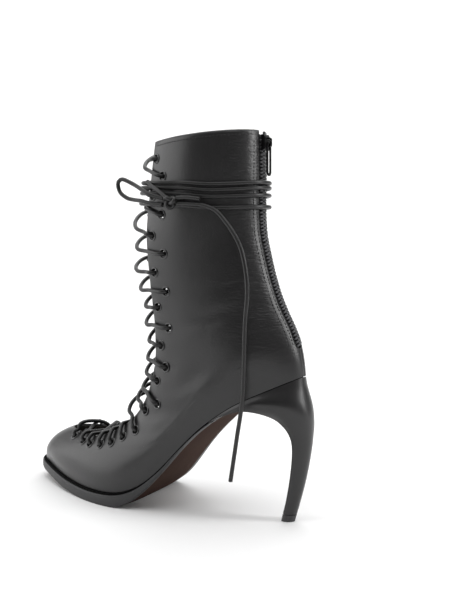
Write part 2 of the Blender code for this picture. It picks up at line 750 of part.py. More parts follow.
# How far the middle of a strand stands off the closed front line of the foot: strand number, lift.
STRAND_LIFT = [
    (0, 0.6), (2, 1.4), (4, 1.2), (6, 1.0), (8, -2.0), (11, -3.0), (14, -2.4), (16, -0.8), (17, -4.0),
    (18, -19.8), (19, -16.8), (20, -8.0),
]


def front_level_near(p):
    """Level whose front point lies nearest to a point."""
    best = 0.0
    shortest = None
    for k in range(round(TOP_LEVEL / LEVEL_STEP) + 1):
        level = k * LEVEL_STEP
        gap = np.linalg.norm(upper_point(1, level, 0.0) - p)
        if shortest is None or gap < shortest:
            shortest = gap
            best = level
    return best


def over_edge(side, level, other_level):
    """Point over the throat edge, part of the way from an eyelet's level to the level of the next."""
    at = level + EDGE_ALONG * (other_level - level)
    c = edge_share(side, at, half_gap(at, THROAT_END_LEVEL, THROAT_ROUND, 6), True)
    return upper_point(side, at, c) + OVER_EDGE * upper_normal(side, at, c)


def strand(number, side):
    """Path of one strand from its eyelet over the throat to the next eyelet on the other side."""
    p, a, b, n = frames[side, number]
    start = p + OVER_EYELET * n
    p, a, b, n = frames[-side, number + 1]
    end = p + OVER_EYELET * n
    stub = STRAND_STUB * (end - start) / np.linalg.norm(end - start)
    path = [start - stub]
    if number >= FIRST_SHAFT_STRAND:
        start = over_edge(side, EYELETS[number][0], EYELETS[number + 1][0])
        end_edge = over_edge(-side, EYELETS[number + 1][0], EYELETS[number][0])
        path.append(start)
    else:
        end_edge = end
    middle = (start + end_edge) / 2.0
    level = front_level_near(middle)
    crest = upper_point(1, level, 0.0) + smooth(STRAND_LIFT, number) * upper_normal(1, level, 0.0)
    bulge = crest - middle
    bulge[1] = 0.0
    for k in range(1, STRAND_STEPS):
        t = (1.0 - math.cos(math.pi * k / STRAND_STEPS)) / 2.0
        path.append(start + (end_edge - start) * t + bulge * roundness(t))
    if number >= FIRST_SHAFT_STRAND:
        path.append(end_edge)
    path.append(end + stub)
    return path


def tube(path, radius, sides):
    """Round bar along a path of points, its rings turned smoothly from one to the next."""
    sections = []
    across = None
    for k, p in enumerate(path):
        ahead = path[min(k + 1, len(path) - 1)] - path[max(k - 1, 0)]
        ahead = ahead / np.linalg.norm(ahead)
        if across is None:
            across = np.cross(ahead, (0.3, 0.2, 1.0))
        across = across - ahead * np.dot(across, ahead)
        across = across / np.linalg.norm(across)
        other = np.cross(ahead, across)
        loop = []
        for m in range(sides):
            angle = 2.0 * math.pi * m / sides
            loop.append(p + radius * (math.cos(angle) * across + math.sin(angle) * other))
        sections.append(loop)
    points = [q for loop in sections for q in loop]
    faces = [tuple(range(sides)), tuple(len(points) - sides + m for m in range(sides))]
    for k in range(len(sections) - 1):
        for m in range(sides):
            o = (m + 1) % sides
            faces.append((k * sides + m, k * sides + o, (k + 1) * sides + o, (k + 1) * sides + m))
    return points, faces


def strands(name, side):
    all_points = []
    all_faces = []
    for number in range(len(EYELETS) - 1):
        points, faces = tube(strand(number, side), CORD_RADIUS, CORD_SIDES)
        base = len(all_points)
        all_points += points
        all_faces += [tuple(base + n for n in face) for face in faces]
    return add_object(name, all_points, all_faces, LACE_LEATHER)


lace_crossings = strands("lace_crossings", 1)
second_strands = strands("second_strands", -1)
apply_boolean(lace_crossings, second_strands, "UNION")

# Turns of the cord round the shaft, from the inner front over the throat and round by the outer side:
# turn, height.
WRAP = [
    (0.0, 241.4), (0.2, 240.6), (0.455, 239.4), (0.533, 237.8), (0.7, 239.6), (0.95, 238.8), (1.2, 237.2),
    (1.455, 235.8), (1.533, 233.8), (1.7, 236.0), (1.95, 235.2), (2.2, 233.8), (2.455, 231.6),
    (2.533, 229.4), (2.7, 230.8), (2.95, 229.8), (3.2, 227.6), (3.455, 223.8), (3.533, 221.8), (3.7, 222.6),
    (3.95, 222.4), (4.04, 222.6),
]
WRAP_START = 0.80
WRAP_STEPS = 20
WRAP_ROOM = 0.5
WRAP_LIFT = CORD_RADIUS + CLEAR + WRAP_ROOM
WRAP_FRONT_ROOM = 1.1
WRAP_FRONT_LIFT = OVER_EYELET + 2.0 * CORD_RADIUS + CLEAR + WRAP_FRONT_ROOM
WRAP_BACK_ROOM = 1.0
WRAP_BACK_LIFT = CHAIN_RISE + CLEAR + CORD_RADIUS + WRAP_BACK_ROOM
WRAP_EDGE = 0.155
FRONT_RISE_START = 0.215
FRONT_RISE_END = 0.255
BACK_RISE_START = 0.42
BACK_RISE_END = 0.47
WRAP_BULGE = 9.0
WRAP_BULGE_POWER = 4
WRAP_LOWEST_LEVEL = 8.0


def level_at_height(side, c, z):
    low = WRAP_LOWEST_LEVEL
    high = TOP_LEVEL
    for _ in range(40):
        mid = (low + high) / 2.0
        if upper_point(side, mid, c)[2] < z:
            low = mid
        else:
            high = mid
    return low


def around(angle, z):
    """Point round the shaft at a height: angle 0 at the front, half a turn at the back, outer side
    first."""
    angle = angle % 1.0
    side = 1 if angle < 0.5 else -1
    s = angle if angle < 0.5 else 1.0 - angle
    at = max(s, WRAP_EDGE)
    c = (1.0 - math.cos(2.0 * math.pi * at)) / 2.0
    level = level_at_height(side, c, z)
    front = max(0.0, min((FRONT_RISE_END - at) / (FRONT_RISE_END - FRONT_RISE_START), 1.0))
    back = max(0.0, min((at - BACK_RISE_START) / (BACK_RISE_END - BACK_RISE_START), 1.0))
    lift = WRAP_LIFT + (WRAP_FRONT_LIFT - WRAP_LIFT) * front + (WRAP_BACK_LIFT - WRAP_LIFT) * back
    p = upper_point(side, level, c) + lift * upper_normal(side, level, c)
    share = s / at
    return np.array((p[0] + WRAP_BULGE * (1.0 - share ** WRAP_BULGE_POWER), p[1] * share, z))


wrap_path = []
last_turn = WRAP[-1][0]
wrap_count = int(last_turn * WRAP_STEPS) + 1
for k in range(wrap_count):
    turn = last_turn * k / (wrap_count - 1)
    wrap_path.append(around(WRAP_START + turn, smooth(WRAP, turn)))
points, faces = tube(wrap_path, CORD_RADIUS, CORD_SIDES)
lace_wraps = add_object("lace_wraps", points, faces, LACE_LEATHER)

# Bow tied on the outer front: a knot, one loop and two ends, each cord through its own route of points.
KNOT_PLACE = (85.0, 41.75, 225.8)
KNOT_RADII = (5.4, 3.2, 4.8)
KNOT_ROUND = 10
KNOT_RINGS = 6
BOW_LOOP = [
    (90.0, 41.4, 228.4), (101.4, 42.4, 231.4), (106.0, 42.0, 233.7), (114.3, 40.2, 237.9),
    (123.8, 40.2, 242.2), (127.2, 40.2, 242.6), (129.8, 40.2, 240.0), (128.0, 40.2, 233.6),
    (121.9, 40.2, 229.3), (116.0, 40.2, 227.9), (108.9, 41.6, 227.0), (101.6, 42.0, 225.2),
    (90.9, 41.4, 223.8),
]
END_LONG = [
    (79.7, 40.0, 224.4), (71.0, 39.0, 224.2), (60.4, 37.8, 223.2), (50.5, 36.8, 219.3), (42.4, 36.5, 211.0),
    (37.2, 36.5, 204.3), (31.6, 36.5, 194.4), (27.8, 36.5, 179.5), (26.6, 36.5, 164.3), (28.2, 36.5, 143.4),
    (28.9, 36.5, 115.5), (30.0, 36.5, 91.5), (34.2, 36.5, 65.0), (39.2, 36.5, 33.8),
]
END_SHORT = [(79.9, 40.4, 228.6), (71.0, 39.6, 228.6), (62.0, 38.6, 227.4)]
CORD_STEP = 7.5


def cord(name, route):
    """Round cord with flat ends along a smooth curve through its route."""
    lengths = [0.0]
    for a, b in zip(route, route[1:]):
        lengths.append(lengths[-1] + math.dist(a, b))
    count = round(lengths[-1] / CORD_STEP)
    curve = bpy.data.curves.new(name, "CURVE")
    curve.dimensions = "3D"
    curve.bevel_depth = CORD_RADIUS * MM
    curve.bevel_resolution = 2
    curve.use_fill_caps = True
    spline = curve.splines.new("POLY")
    spline.points.add(count)
    for k in range(count + 1):
        at = lengths[-1] * k / count
        place = [smooth([(d, p[axis]) for d, p in zip(lengths, route)], at) for axis in range(3)]
        spline.points[k].co = (*metres(place), 1.0)
    curve.materials.append(LACE_LEATHER)
    obj = bpy.data.objects.new(name, curve)
    bpy.context.scene.collection.objects.link(obj)
    return obj


knot_sections = []
for k in range(KNOT_RINGS + 1):
    polar = math.pi * (k + 0.25) / (KNOT_RINGS + 0.5)
    ring = []
    for m in range(KNOT_ROUND):
        turn = 2.0 * math.pi * m / KNOT_ROUND
        direction = (-math.cos(polar), math.sin(polar) * math.cos(turn), math.sin(polar) * math.sin(turn))
        ring.append(tuple(p + r * d for p, r, d in zip(KNOT_PLACE, KNOT_RADII, direction)))
    knot_sections.append(ring)
points, faces = loft(knot_sections)
lace_knot = add_object("lace_knot", points, faces, LACE_LEATHER)
lace_bow_loop = cord("lace_bow_loop", BOW_LOOP)
lace_end_long = cord("lace_end_long", END_LONG)
lace_end_short = cord("lace_end_short", END_SHORT)
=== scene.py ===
# %% [markdown]
# # A lace-up ankle boot in black leather
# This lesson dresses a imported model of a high-heeled boot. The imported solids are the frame: they say where
# each piece is and which body it moves with. Every visible piece is modelled again here with more points,
# rounded edges, stitches and materials, in the same coordinates.

# %% Load the frame
import math
from functools import lru_cache

import bmesh
import bpy
import numpy as np
from mathutils import Matrix, Vector


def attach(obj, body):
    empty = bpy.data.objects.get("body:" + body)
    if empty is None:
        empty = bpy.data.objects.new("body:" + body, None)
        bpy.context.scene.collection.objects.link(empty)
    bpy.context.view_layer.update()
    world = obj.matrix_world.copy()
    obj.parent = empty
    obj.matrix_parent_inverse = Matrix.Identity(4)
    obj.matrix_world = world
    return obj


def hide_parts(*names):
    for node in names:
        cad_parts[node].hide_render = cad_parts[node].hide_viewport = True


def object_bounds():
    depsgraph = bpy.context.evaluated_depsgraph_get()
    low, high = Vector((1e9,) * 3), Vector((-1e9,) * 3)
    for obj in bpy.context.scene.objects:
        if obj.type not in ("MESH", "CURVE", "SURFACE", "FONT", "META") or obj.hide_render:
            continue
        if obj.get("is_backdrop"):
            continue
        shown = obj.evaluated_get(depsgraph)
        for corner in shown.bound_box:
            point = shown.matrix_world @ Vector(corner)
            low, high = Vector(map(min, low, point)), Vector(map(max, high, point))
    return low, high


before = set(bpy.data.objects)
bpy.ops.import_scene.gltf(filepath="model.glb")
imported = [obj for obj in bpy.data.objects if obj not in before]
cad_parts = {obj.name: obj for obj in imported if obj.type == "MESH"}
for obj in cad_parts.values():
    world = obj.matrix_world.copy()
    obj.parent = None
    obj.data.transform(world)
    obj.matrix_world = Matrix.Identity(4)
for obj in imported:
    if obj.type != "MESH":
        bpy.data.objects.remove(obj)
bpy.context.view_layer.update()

# %% [markdown]
# ## Sizes and places
# A bootmaker measures from the back of the heel seat, in millimetres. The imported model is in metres, with
# its origin on the floor under the middle of the boot. One small function goes from the first to the
# second.

# %% From the maker's measure to the model's
MM = 0.001
BOX_MID = np.array((119.0, -0.5, 0.0))


def metres(p):
    return Vector((np.asarray(p, float) - BOX_MID) * MM)


# %% [markdown]
# ## Camera
# The boot is seen from behind and from its outer side, a little above its middle, with a normal lens. The
# camera's place was solved from the boot's own sizes, so the same numbers put every piece on its pixel.

# %% Camera
FOCAL_PIXELS = 820.0
LONG_SIDE_PIXELS = 600.0
SENSOR = 36.0
CAMERA_PLACE = (-229.6, 519.6, 203.1)
CAMERA_TURN = math.radians(29.48)
CAMERA_DIP = math.radians(4.55)


def link_new(name, data):
    """New object in the scene for a camera, a light, a mesh or a curve."""
    obj = bpy.data.objects.new(name, data)
    bpy.context.scene.collection.objects.link(obj)
    return obj


back = Vector((-math.sin(CAMERA_TURN) * math.cos(CAMERA_DIP), math.cos(CAMERA_TURN) * math.cos(CAMERA_DIP),
               math.sin(CAMERA_DIP)))
right = Vector((-math.cos(CAMERA_TURN), -math.sin(CAMERA_TURN), 0.0))
camera_data = bpy.data.cameras.new("camera")
camera_data.sensor_width = SENSOR
camera_data.lens = FOCAL_PIXELS * SENSOR / LONG_SIDE_PIXELS
camera = link_new("camera", camera_data)
turned = Matrix((right, back.cross(right), back)).transposed().to_4x4()
camera.matrix_world = Matrix.Translation(metres(CAMERA_PLACE)) @ turned
bpy.context.scene.camera = camera
print("lens", round(camera_data.lens, 1), "mm")

# %% [markdown]
# ## Floor and light
# The boot stands on a white paper sweep that turns up into a backdrop behind it. A wide pale panel beyond
# the toe gives the front of the boot its even sheen, and a small one behind the heel draws the bright edge
# beside the zip. A softbox above and a strip before the backdrop keep the paper white. The rest of the room
# stays dim, because black leather shows little but what it mirrors.

# %% Colours from hex
def linear(code):
    """sRGB hex to the linear colour that a shader works with."""
    values = [int(code[k:k + 2], 16) / 255.0 for k in (1, 3, 5)]
    return tuple(v / 12.92 if v <= 0.04045 else ((v + 0.055) / 1.055) ** 2.4 for v in values) + (1.0,)


def node(tree, kind, inputs=None, links=None, **settings):
    """One shader node with its settings, input values and links."""
    made = tree.nodes.new(kind)
    for name, value in settings.items():
        setattr(made, name, value)
    for name, value in (inputs or {}).items():
        made.inputs[name].default_value = value
    for name, source in (links or {}).items():
        tree.links.new(source, made.inputs[name])
    return made


def new_material(name):
    material = bpy.data.materials.new(name)
    material.use_nodes = True
    return material, material.node_tree, material.node_tree.nodes["Principled BSDF"]


print("white", [round(v, 2) for v in linear("#ffffff")])

# %% Paper sweep
SWEEP_HALF = 4000.0
SWEEP_FRONT = 4000.0
SWEEP_BACK = 1500.0
SWEEP_ROUND = 900.0
SWEEP_HIGH = 3200.0
SWEEP_STEPS = 16
# Uncoated paper scatters the light, so the ground is an even white without sheen.
paper, tree, shader = new_material("matte_white_studio_paper")
shader.inputs["Base Color"].default_value = linear("#f6f6f6")
shader.inputs["Roughness"].default_value = 0.9
shader.inputs["Specular IOR Level"].default_value = 0.1
profile = [(-SWEEP_FRONT, 0.0), (SWEEP_BACK, 0.0)]
for turn in np.linspace(0.0, math.pi / 2.0, SWEEP_STEPS)[1:]:
    profile.append((SWEEP_BACK + SWEEP_ROUND * math.sin(turn), SWEEP_ROUND * (1.0 - math.cos(turn))))
profile.append((SWEEP_BACK + SWEEP_ROUND, SWEEP_HIGH))
away = np.array((math.sin(CAMERA_TURN), -math.cos(CAMERA_TURN), 0.0))
across = np.array((math.cos(CAMERA_TURN), math.sin(CAMERA_TURN), 0.0))
corners = [BOX_MID + away * d + across * w + (0.0, 0.0, h)
           for d, h in profile for w in (-SWEEP_HALF, SWEEP_HALF)]
sweep_mesh = bpy.data.meshes.new("paper_sweep")
quads = [(2 * k, 2 * k + 1, 2 * k + 3, 2 * k + 2) for k in range(len(profile) - 1)]
sweep_mesh.from_pydata([metres(p) for p in corners], [], quads)
sweep_mesh.materials.append(paper)
sweep_mesh.shade_smooth()
sweep = link_new("paper_sweep", sweep_mesh)
sweep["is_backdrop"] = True
print("sweep", len(quads), "strips")

# %% Room and softboxes
ROOM_LIGHT = 0.2
world = bpy.data.worlds.new("dim_studio")
world.use_nodes = True
room = world.node_tree.nodes["Background"]
room.inputs["Color"].default_value = linear("#ffffff")
room.inputs["Strength"].default_value = ROOM_LIGHT
bpy.context.scene.world = world
backdrop_place = tuple(BOX_MID + away * 1100.0 + (0.0, 0.0, 1900.0))
backdrop_aim = tuple(BOX_MID + away * 2400.0 + (0.0, 0.0, 500.0))
# name, place, aim, width and height in millimetres, power in watts
SOFTBOXES = [
    ("panel_toe", (1650.0, 850.0, 800.0), (110.0, 50.0, 350.0), 2200.0, 1500.0, 21.0),
    ("softbox_heel", (-850.0, -260.0, 560.0), (20.0, 0.0, 150.0), 200.0, 700.0, 5.0),
    ("softbox_top", (60.0, -150.0, 1400.0), (60.0, -150.0, 0.0), 2000.0, 2000.0, 20.0),
    ("backdrop_light", backdrop_place, backdrop_aim, 3800.0, 500.0, 35.0),
]
for name, place, aim, wide, high, power in SOFTBOXES:
    light_data = bpy.data.lights.new(name, "AREA")
    light_data.shape = "RECTANGLE"
    light_data.size = wide * MM
    light_data.size_y = high * MM
    light_data.energy = power
    light = link_new(name, light_data)
    light.location = metres(place)
    light.rotation_euler = (metres(aim) - metres(place)).to_track_quat("-Z", "Y").to_euler()
bpy.context.scene.view_settings.view_transform = "Standard"
print("softboxes", len(SOFTBOXES))

# %% [markdown]
# ## Leather, metal and thread
# The upper and the heel cover are smooth black calf, finished with a thin wax that leaves a soft sheen. Its
# pores are about a quarter of a millimetre, too fine for this picture, so they are drawn near one
# millimetre. A slow waviness of the hide breaks the highlights up. Linings, sole, cord, zip and eyelets
# each get their own finish.

# %% Smooth leathers
PORE = 0.9  # real pores are about 0.25 mm, too fine for this picture
WAVE = 9.0
CLOUD = 35.0
LEATHER_IOR = 1.48
COAT_ROUGH = 0.28
# Fine cross lines where the hide is drawn in beside the zip: model x and z over which they fade, their length
# and how much closer they lie than they are long.
COCKLE_X = (-84.0, -64.0)
COCKLE_Z = (105.0, 150.0)
COCKLE_LONG = 7.0
COCKLE_STRETCH = 5.0


def finished_leather(name, dark, light, rough, pore_depth, wave_depth, coat=0.0, cockle=0.0, specular=0.5):
    """Grained hide: clouded colour, pores and slow waves as bump, a drifting roughness, a thin wax coat."""
    material, tree, shader = new_material(name)
    place = node(tree, "ShaderNodeTexCoord").outputs["Object"]
    cloud = node(tree, "ShaderNodeTexNoise", {"Scale": 1.0 / (CLOUD * MM), "Detail": 3.0}, {"Vector": place})
    shade = cloud.outputs["Fac"]
    colour = node(tree, "ShaderNodeMix", {6: linear(dark), 7: linear(light)}, {0: shade}, data_type="RGBA")
    gloss = node(tree, "ShaderNodeMapRange", {"To Min": rough[0], "To Max": rough[1]}, {"Value": shade})
    pores = node(tree, "ShaderNodeTexVoronoi", {"Scale": 1.0 / (PORE * MM)}, {"Vector": place},
                 feature="SMOOTH_F1")
    wave = node(tree, "ShaderNodeTexNoise", {"Scale": 1.0 / (WAVE * MM), "Detail": 2.0}, {"Vector": place})
    layers = [(wave.outputs["Fac"], wave_depth), (pores.outputs["Distance"], pore_depth)]
    if cockle:
        axes = node(tree, "ShaderNodeSeparateXYZ", links={"Vector": place})
        squeeze = node(tree, "ShaderNodeMapping", {"Scale": (1.0, 1.0, COCKLE_STRETCH)}, {"Vector": place})
        folds = node(tree, "ShaderNodeTexNoise", {"Scale": 1.0 / (COCKLE_LONG * MM), "Detail": 3.0},
                     {"Vector": squeeze.outputs["Vector"]})
        height = folds.outputs["Fac"]
        for axis, span, low, high in (("X", COCKLE_X, 1.0, 0.0), ("Z", COCKLE_Z, 0.0, 1.0)):
            limits = {"From Min": span[0] * MM, "From Max": span[1] * MM, "To Min": low, "To Max": high}
            zone = node(tree, "ShaderNodeMapRange", limits, {"Value": axes.outputs[axis]})
            height = node(tree, "ShaderNodeMath", links={0: height, 1: zone.outputs["Result"]},
                          operation="MULTIPLY").outputs["Value"]
        layers.append((height, cockle))
    under = {}
    for height, depth in layers:
        links = {"Height": height, **under}
        bump = node(tree, "ShaderNodeBump", {"Strength": 1.0, "Distance": depth * MM}, links)
        under = {"Normal": bump.outputs["Normal"]}
    for socket, source in (("Base Color", colour.outputs[2]), ("Roughness", gloss.outputs["Result"]),
                           ("Normal", under["Normal"])):
        tree.links.new(source, shader.inputs[socket])
    for socket, value in (("IOR", LEATHER_IOR), ("Specular IOR Level", specular), ("Coat Weight", coat),
                          ("Coat Roughness", COAT_ROUGH)):
        shader.inputs[socket].default_value = value
    return material


# Waxed calf is near black, with a soft wide sheen that follows the foot.
calf = finished_leather("waxed_black_calf", "#0f0e0f", "#181718", (0.30, 0.42), 0.05, 0.16,
                        coat=0.25, cockle=0.55)
# Pigskin is left without wax inside, so the lining is a dull pale grey.
lining = finished_leather("grey_pigskin_lining", "#6f6a66", "#837d78", (0.6, 0.75), 0.08, 0.1)
# Bark-tanned leather is cut and not polished, so the underside is brown and flat.
sole_hide = finished_leather("brown_oak_bark_sole_leather", "#382a25", "#483831", (0.85, 0.95), 0.06, 0.12,
                             specular=0.05)
# The sole's edge is trimmed, inked and rubbed, which gives a dark grey line with a broad dull light.
edge_ink = finished_leather("black_inked_sole_edge", "#272728", "#343435", (0.42, 0.56), 0.05, 0.1)
# The welt is black leather, made deeper black and dull as painted shade for the shadowed groove, so it
# reads as a black line over the sole. The same painted shade colours the seam strip under the upper.
welt_and_painted_shade = finished_leather("black_welt_and_painted_seam_shade", "#050505", "#080808", (0.8, 0.9), 0.05, 0.08, specular=0.1)
# Rolled cord is smooth and tight, so each bend carries a thin line of light.
round_cord = finished_leather("rolled_black_leather_cord", "#0a0a0a", "#121112", (0.32, 0.45), 0.06, 0.05,
                              coat=0.1)
print("leathers made")

# %% Metals, enamel, thread and rubber
THREAD = 0.35
SCRATCH = 1.2  # real scratches are finer, but would not show here
RUBBER_GRAIN = 1.5
GLOSS_SPREAD = 0.2


def plain_finish(name, base, roughness, metallic, grain, depth, coat=0.0):
    """Surface of one colour with a fine noise of a given grain in its gloss and relief."""
    material, tree, shader = new_material(name)
    place = node(tree, "ShaderNodeTexCoord").outputs["Object"]
    noise = node(tree, "ShaderNodeTexNoise", {"Scale": 1.0 / (grain * MM), "Detail": 4.0}, {"Vector": place})
    speck = noise.outputs["Fac"]
    limits = {"To Min": roughness * (1.0 - GLOSS_SPREAD), "To Max": roughness * (1.0 + GLOSS_SPREAD)}
    gloss = node(tree, "ShaderNodeMapRange", limits, {"Value": speck})
    bump = node(tree, "ShaderNodeBump", {"Strength": 1.0, "Distance": depth * MM}, {"Height": speck})
    for socket, value in (("Base Color", linear(base)), ("Metallic", metallic), ("Coat Weight", coat)):
        shader.inputs[socket].default_value = value
    tree.links.new(gloss.outputs["Result"], shader.inputs["Roughness"])
    tree.links.new(bump.outputs["Normal"], shader.inputs["Normal"])
    return material


# Enamel on brass is hard and smooth, with small sharp lights.
enamel = plain_finish("black_enamelled_brass", "#0c0c0d", 0.3, 0.0, SCRATCH, 0.02, 0.6)
# A thin grey metal ring on each eyelet's inner slope is a painted glint, for the small lights on the rims.
glint_ring = plain_finish("gunmetal_painted_glint_ring", "#5a5a5c", 0.4, 1.0, SCRATCH, 0.01)
# Black nickel on a casting is a dark metal with soft lights.
nickel = plain_finish("black_nickel_die_casting", "#1c1c1d", 0.38, 1.0, SCRATCH, 0.02)
# Blackened brass keeps a grey shine on the ridges of the teeth.
teeth_metal = plain_finish("blackened_zip_brass", "#5e5e60", 0.42, 0.5, SCRATCH, 0.02)
# A tight weave swallows light, so the tape is a flat black.
tape_weave = plain_finish("woven_polyester_zip_tape", "#141415", 0.8, 0.0, THREAD, 0.12)
# Twisted thread is dull and a shade lighter than the leather, so stitches show as fine dashes.
thread = plain_finish("twisted_polyester_thread", "#232324", 0.6, 0.0, THREAD, 0.1)
# Moulded rubber makes a dull dark grey foot under the heel.
tip_rubber = plain_finish("moulded_heel_rubber", "#333334", 0.55, 0.0, RUBBER_GRAIN, 0.05)
print("other finishes made")

# %% [markdown]
# ## The last
# A shoe upper is pulled over a last. Here the last is a set of girth lines, from the feather line at the
# sole to the collar: each row says where the line crosses the front and the back, and a second table how
# wide the boot is along it. A smooth curve through the tables gives any point, so each piece can ask for as
# many as it needs.

# %% Tables of the last
# front_x, front_z, front_y, back_x, back_z, follow (share of the sole's sag), half gap of the throat and of
# the zip
LEVELS = [
    (241.2, 16.0, -7.0, 0.2, 105.0, 1.00, 0.0, 0.0),
    (238.2, 26.4, -6.8, 1.0, 111.5, 0.96, 0.0, 0.0),
    (227.4, 36.8, -6.0, 2.4, 119.5, 0.90, 0.0, 0.0),
    (208.0, 45.8, -4.6, 4.9, 128.5, 0.80, 22.0, 4.6),
    (182.4, 51.0, -3.0, 9.2, 138.5, 0.66, 23.0, 4.6),
    (158.2, 59.0, -1.6, 15.0, 149.5, 0.50, 22.5, 4.6),
    (139.4, 74.0, -0.6, 20.3, 161.0, 0.36, 21.2, 4.6),
    (130.0, 97.0, 0.0, 24.8, 174.0, 0.25, 22.6, 4.6),
    (130.0, 127.0, 0.0, 28.6, 188.0, 0.16, 23.2, 4.6),
    (135.6, 161.0, 0.0, 32.4, 205.0, 0.09, 25.2, 4.6),
    (139.0, 197.0, 0.0, 33.6, 224.0, 0.04, 26.6, 4.6),
    (133.0, 234.0, 0.0, 33.6, 247.0, 0.02, 26.4, 4.6),
    (125.5, 268.0, 0.0, 33.8, 275.5, 0.00, 25.2, 4.6),
]
STATIONS = (0.06, 0.20, 0.40, 0.62, 0.85)
# half widths at the stations, on the outer and the inner side
HALF_WIDTHS = [
    ((14.0, 29.8, 41.0, 31.2, 25.6), (13.6, 29.4, 36.8, 27.4, 25.6)),
    ((16.6, 31.6, 42.2, 33.0, 27.0), (16.2, 31.0, 38.2, 29.6, 27.0)),
    ((15.6, 30.6, 40.0, 33.6, 28.2), (15.4, 29.8, 36.8, 31.2, 28.2)),
    ((11.8, 26.6, 35.6, 33.2, 28.8), (11.8, 26.2, 33.8, 31.6, 28.8)),
    ((10.4, 24.2, 32.2, 32.8, 28.4), (10.4, 24.0, 31.4, 32.0, 28.4)),
    ((11.2, 23.6, 31.0, 32.2, 27.2), (11.2, 23.6, 30.8, 32.0, 27.2)),
]
# from the ankle up, the same on both sides
SHAFT_WIDTHS = [
    (12.2, 23.8, 30.2, 31.2, 25.6), (13.2, 24.0, 29.6, 30.2, 24.2), (13.2, 23.4, 29.2, 29.8, 23.4),
    (13.6, 24.2, 30.6, 30.8, 23.4), (14.0, 25.0, 31.8, 32.2, 24.0), (14.2, 25.4, 32.4, 32.8, 24.4),
    (14.2, 25.4, 32.4, 32.8, 24.4),
]
HALF_WIDTHS += [(row, row) for row in SHAFT_WIDTHS]
# Feather line where the upper meets the sole: x, height.
FEATHER = [
    (0.2, 105.0), (20.0, 95.8), (40.0, 86.0), (55.0, 76.3), (70.0, 64.5), (85.0, 50.0), (100.0, 33.8),
    (113.0, 21.8), (125.0, 14.4), (138.0, 10.8), (155.0, 9.7), (175.0, 9.7), (195.0, 11.0), (215.0, 13.2),
    (230.0, 15.0), (240.0, 16.0), (247.0, 16.8),
]
WALL = 1.8
TOP_LEVEL = 12.0
THROAT_END_LEVEL = 2.95
THROAT_ROUND = 0.40
THROAT_COLUMN = 6
ZIP_END_LEVEL = 2.55
ZIP_ROUND = 0.15
ZIP_COLUMN = 7
print("girth lines", len(LEVELS))

# %% Smooth curves through the tables
def smooth(table, at):
    """Catmull-Rom value at one place, or at many, along a table of (place, value) rows."""
    xs = np.array([row[0] for row in table], float)
    ys = np.array([row[1] for row in table], float)
    at = np.clip(at, xs[0], xs[-1])
    k = np.clip(np.searchsorted(xs, at) - 1, 0, len(xs) - 2)
    slopes = np.empty_like(ys)
    slopes[1:-1] = (ys[2:] - ys[:-2]) / (xs[2:] - xs[:-2])
    slopes[0] = (ys[1] - ys[0]) / (xs[1] - xs[0])
    slopes[-1] = (ys[-1] - ys[-2]) / (xs[-1] - xs[-2])
    span = xs[k + 1] - xs[k]
    t = (at - xs[k]) / span
    h = t * t * (3.0 - 2.0 * t)
    bend = slopes[k] * t * (1 - t) ** 2 - slopes[k + 1] * t * t * (1 - t)
    return ys[k] * (1 - h) + ys[k + 1] * h + span * bend


def row_at(table, place):
    """The row of a table at a place between its numbered rows."""
    return [float(smooth(list(enumerate(column)), place)) for column in zip(*table)]


@lru_cache(maxsize=None)
def girth_line(level):
    """The rows of the tables at a level between the given ones: places, and widths by side."""
    widths = {side: row_at([row[pick] for row in HALF_WIDTHS], level) for side, pick in ((1, 0), (-1, 1))}
    return row_at(LEVELS, level), widths


def roundness(c):
    return 2.0 * np.sqrt(np.clip(c * (1.0 - c), 0.0, None))


def half_width(side, level, c):
    rows = [(s, w / roundness(s)) for s, w in zip(STATIONS, girth_line(level)[1][side])]
    return smooth(rows, c) * roundness(c)


print("collar row", [round(v, 1) for v in girth_line(TOP_LEVEL)[0]])

# %% Points and openings on the last
TURN_STEP = 0.02
LEAST_TURN = 0.03
LEVEL_STEP = 0.05
MOST_SHARE = 0.4
HALVINGS = 30


def upper_point(side, level, c):
    """Point, or points, on the outside of the upper at a girth level and a share c from front to back."""
    fx, fz, fy, bx, bz, follow = girth_line(level)[0][:6]
    c = np.asarray(c, float)
    toe = LEVELS[0]
    sag = smooth(FEATHER, toe[0] + (toe[3] - toe[0]) * c) - (toe[1] + (toe[4] - toe[1]) * c)
    x = fx + (bx - fx) * c
    y = fy * (1.0 - c) ** 2 + side * half_width(side, level, c)
    return np.stack([x, y, fz + (bz - fz) * c + follow * sag], -1)


def unit(v):
    return v / np.linalg.norm(v, axis=-1, keepdims=True)


def upper_frame(side, level, c):
    """Point, or points, on the upper with the backward tangent, upward tangent and outward normal."""
    s = np.clip(np.arccos(1.0 - 2.0 * np.asarray(c, float)), LEAST_TURN, math.pi - LEAST_TURN)
    ahead, behind = (upper_point(side, level, (1.0 - np.cos(s + d)) / 2.0) for d in (-TURN_STEP, TURN_STEP))
    above = upper_point(side, min(level + LEVEL_STEP, TOP_LEVEL), c)
    along, up = behind - ahead, above - upper_point(side, max(level - LEVEL_STEP, 0.0), c)
    return upper_point(side, level, c), unit(along), unit(up), unit(np.cross(along, up) * side)


def half_gap(level, end, length, column):
    """Half of an opening at a level, rounded off to nothing at its lower end."""
    t = min(max((level - end) / length, 0.0), 1.0)
    return girth_line(level)[0][column] * math.sqrt(1.0 - (1.0 - t) ** 2)


def halve(low, high, count, holds):
    """Last place between low and high where a test still holds, by halving."""
    for _ in range(count):
        mid = (low + high) / 2.0
        low, high = (mid, high) if holds(mid) else (low, mid)
    return low


def edge_share(side, level, gap, from_front):
    """Share at which a girth line is a given half gap away from the front or back centre."""
    def inside(s):
        return half_width(side, level, s if from_front else 1.0 - s) < gap

    share = halve(0.0, MOST_SHARE, HALVINGS, inside) if gap > 0.0 else 0.0
    return share if from_front else 1.0 - share


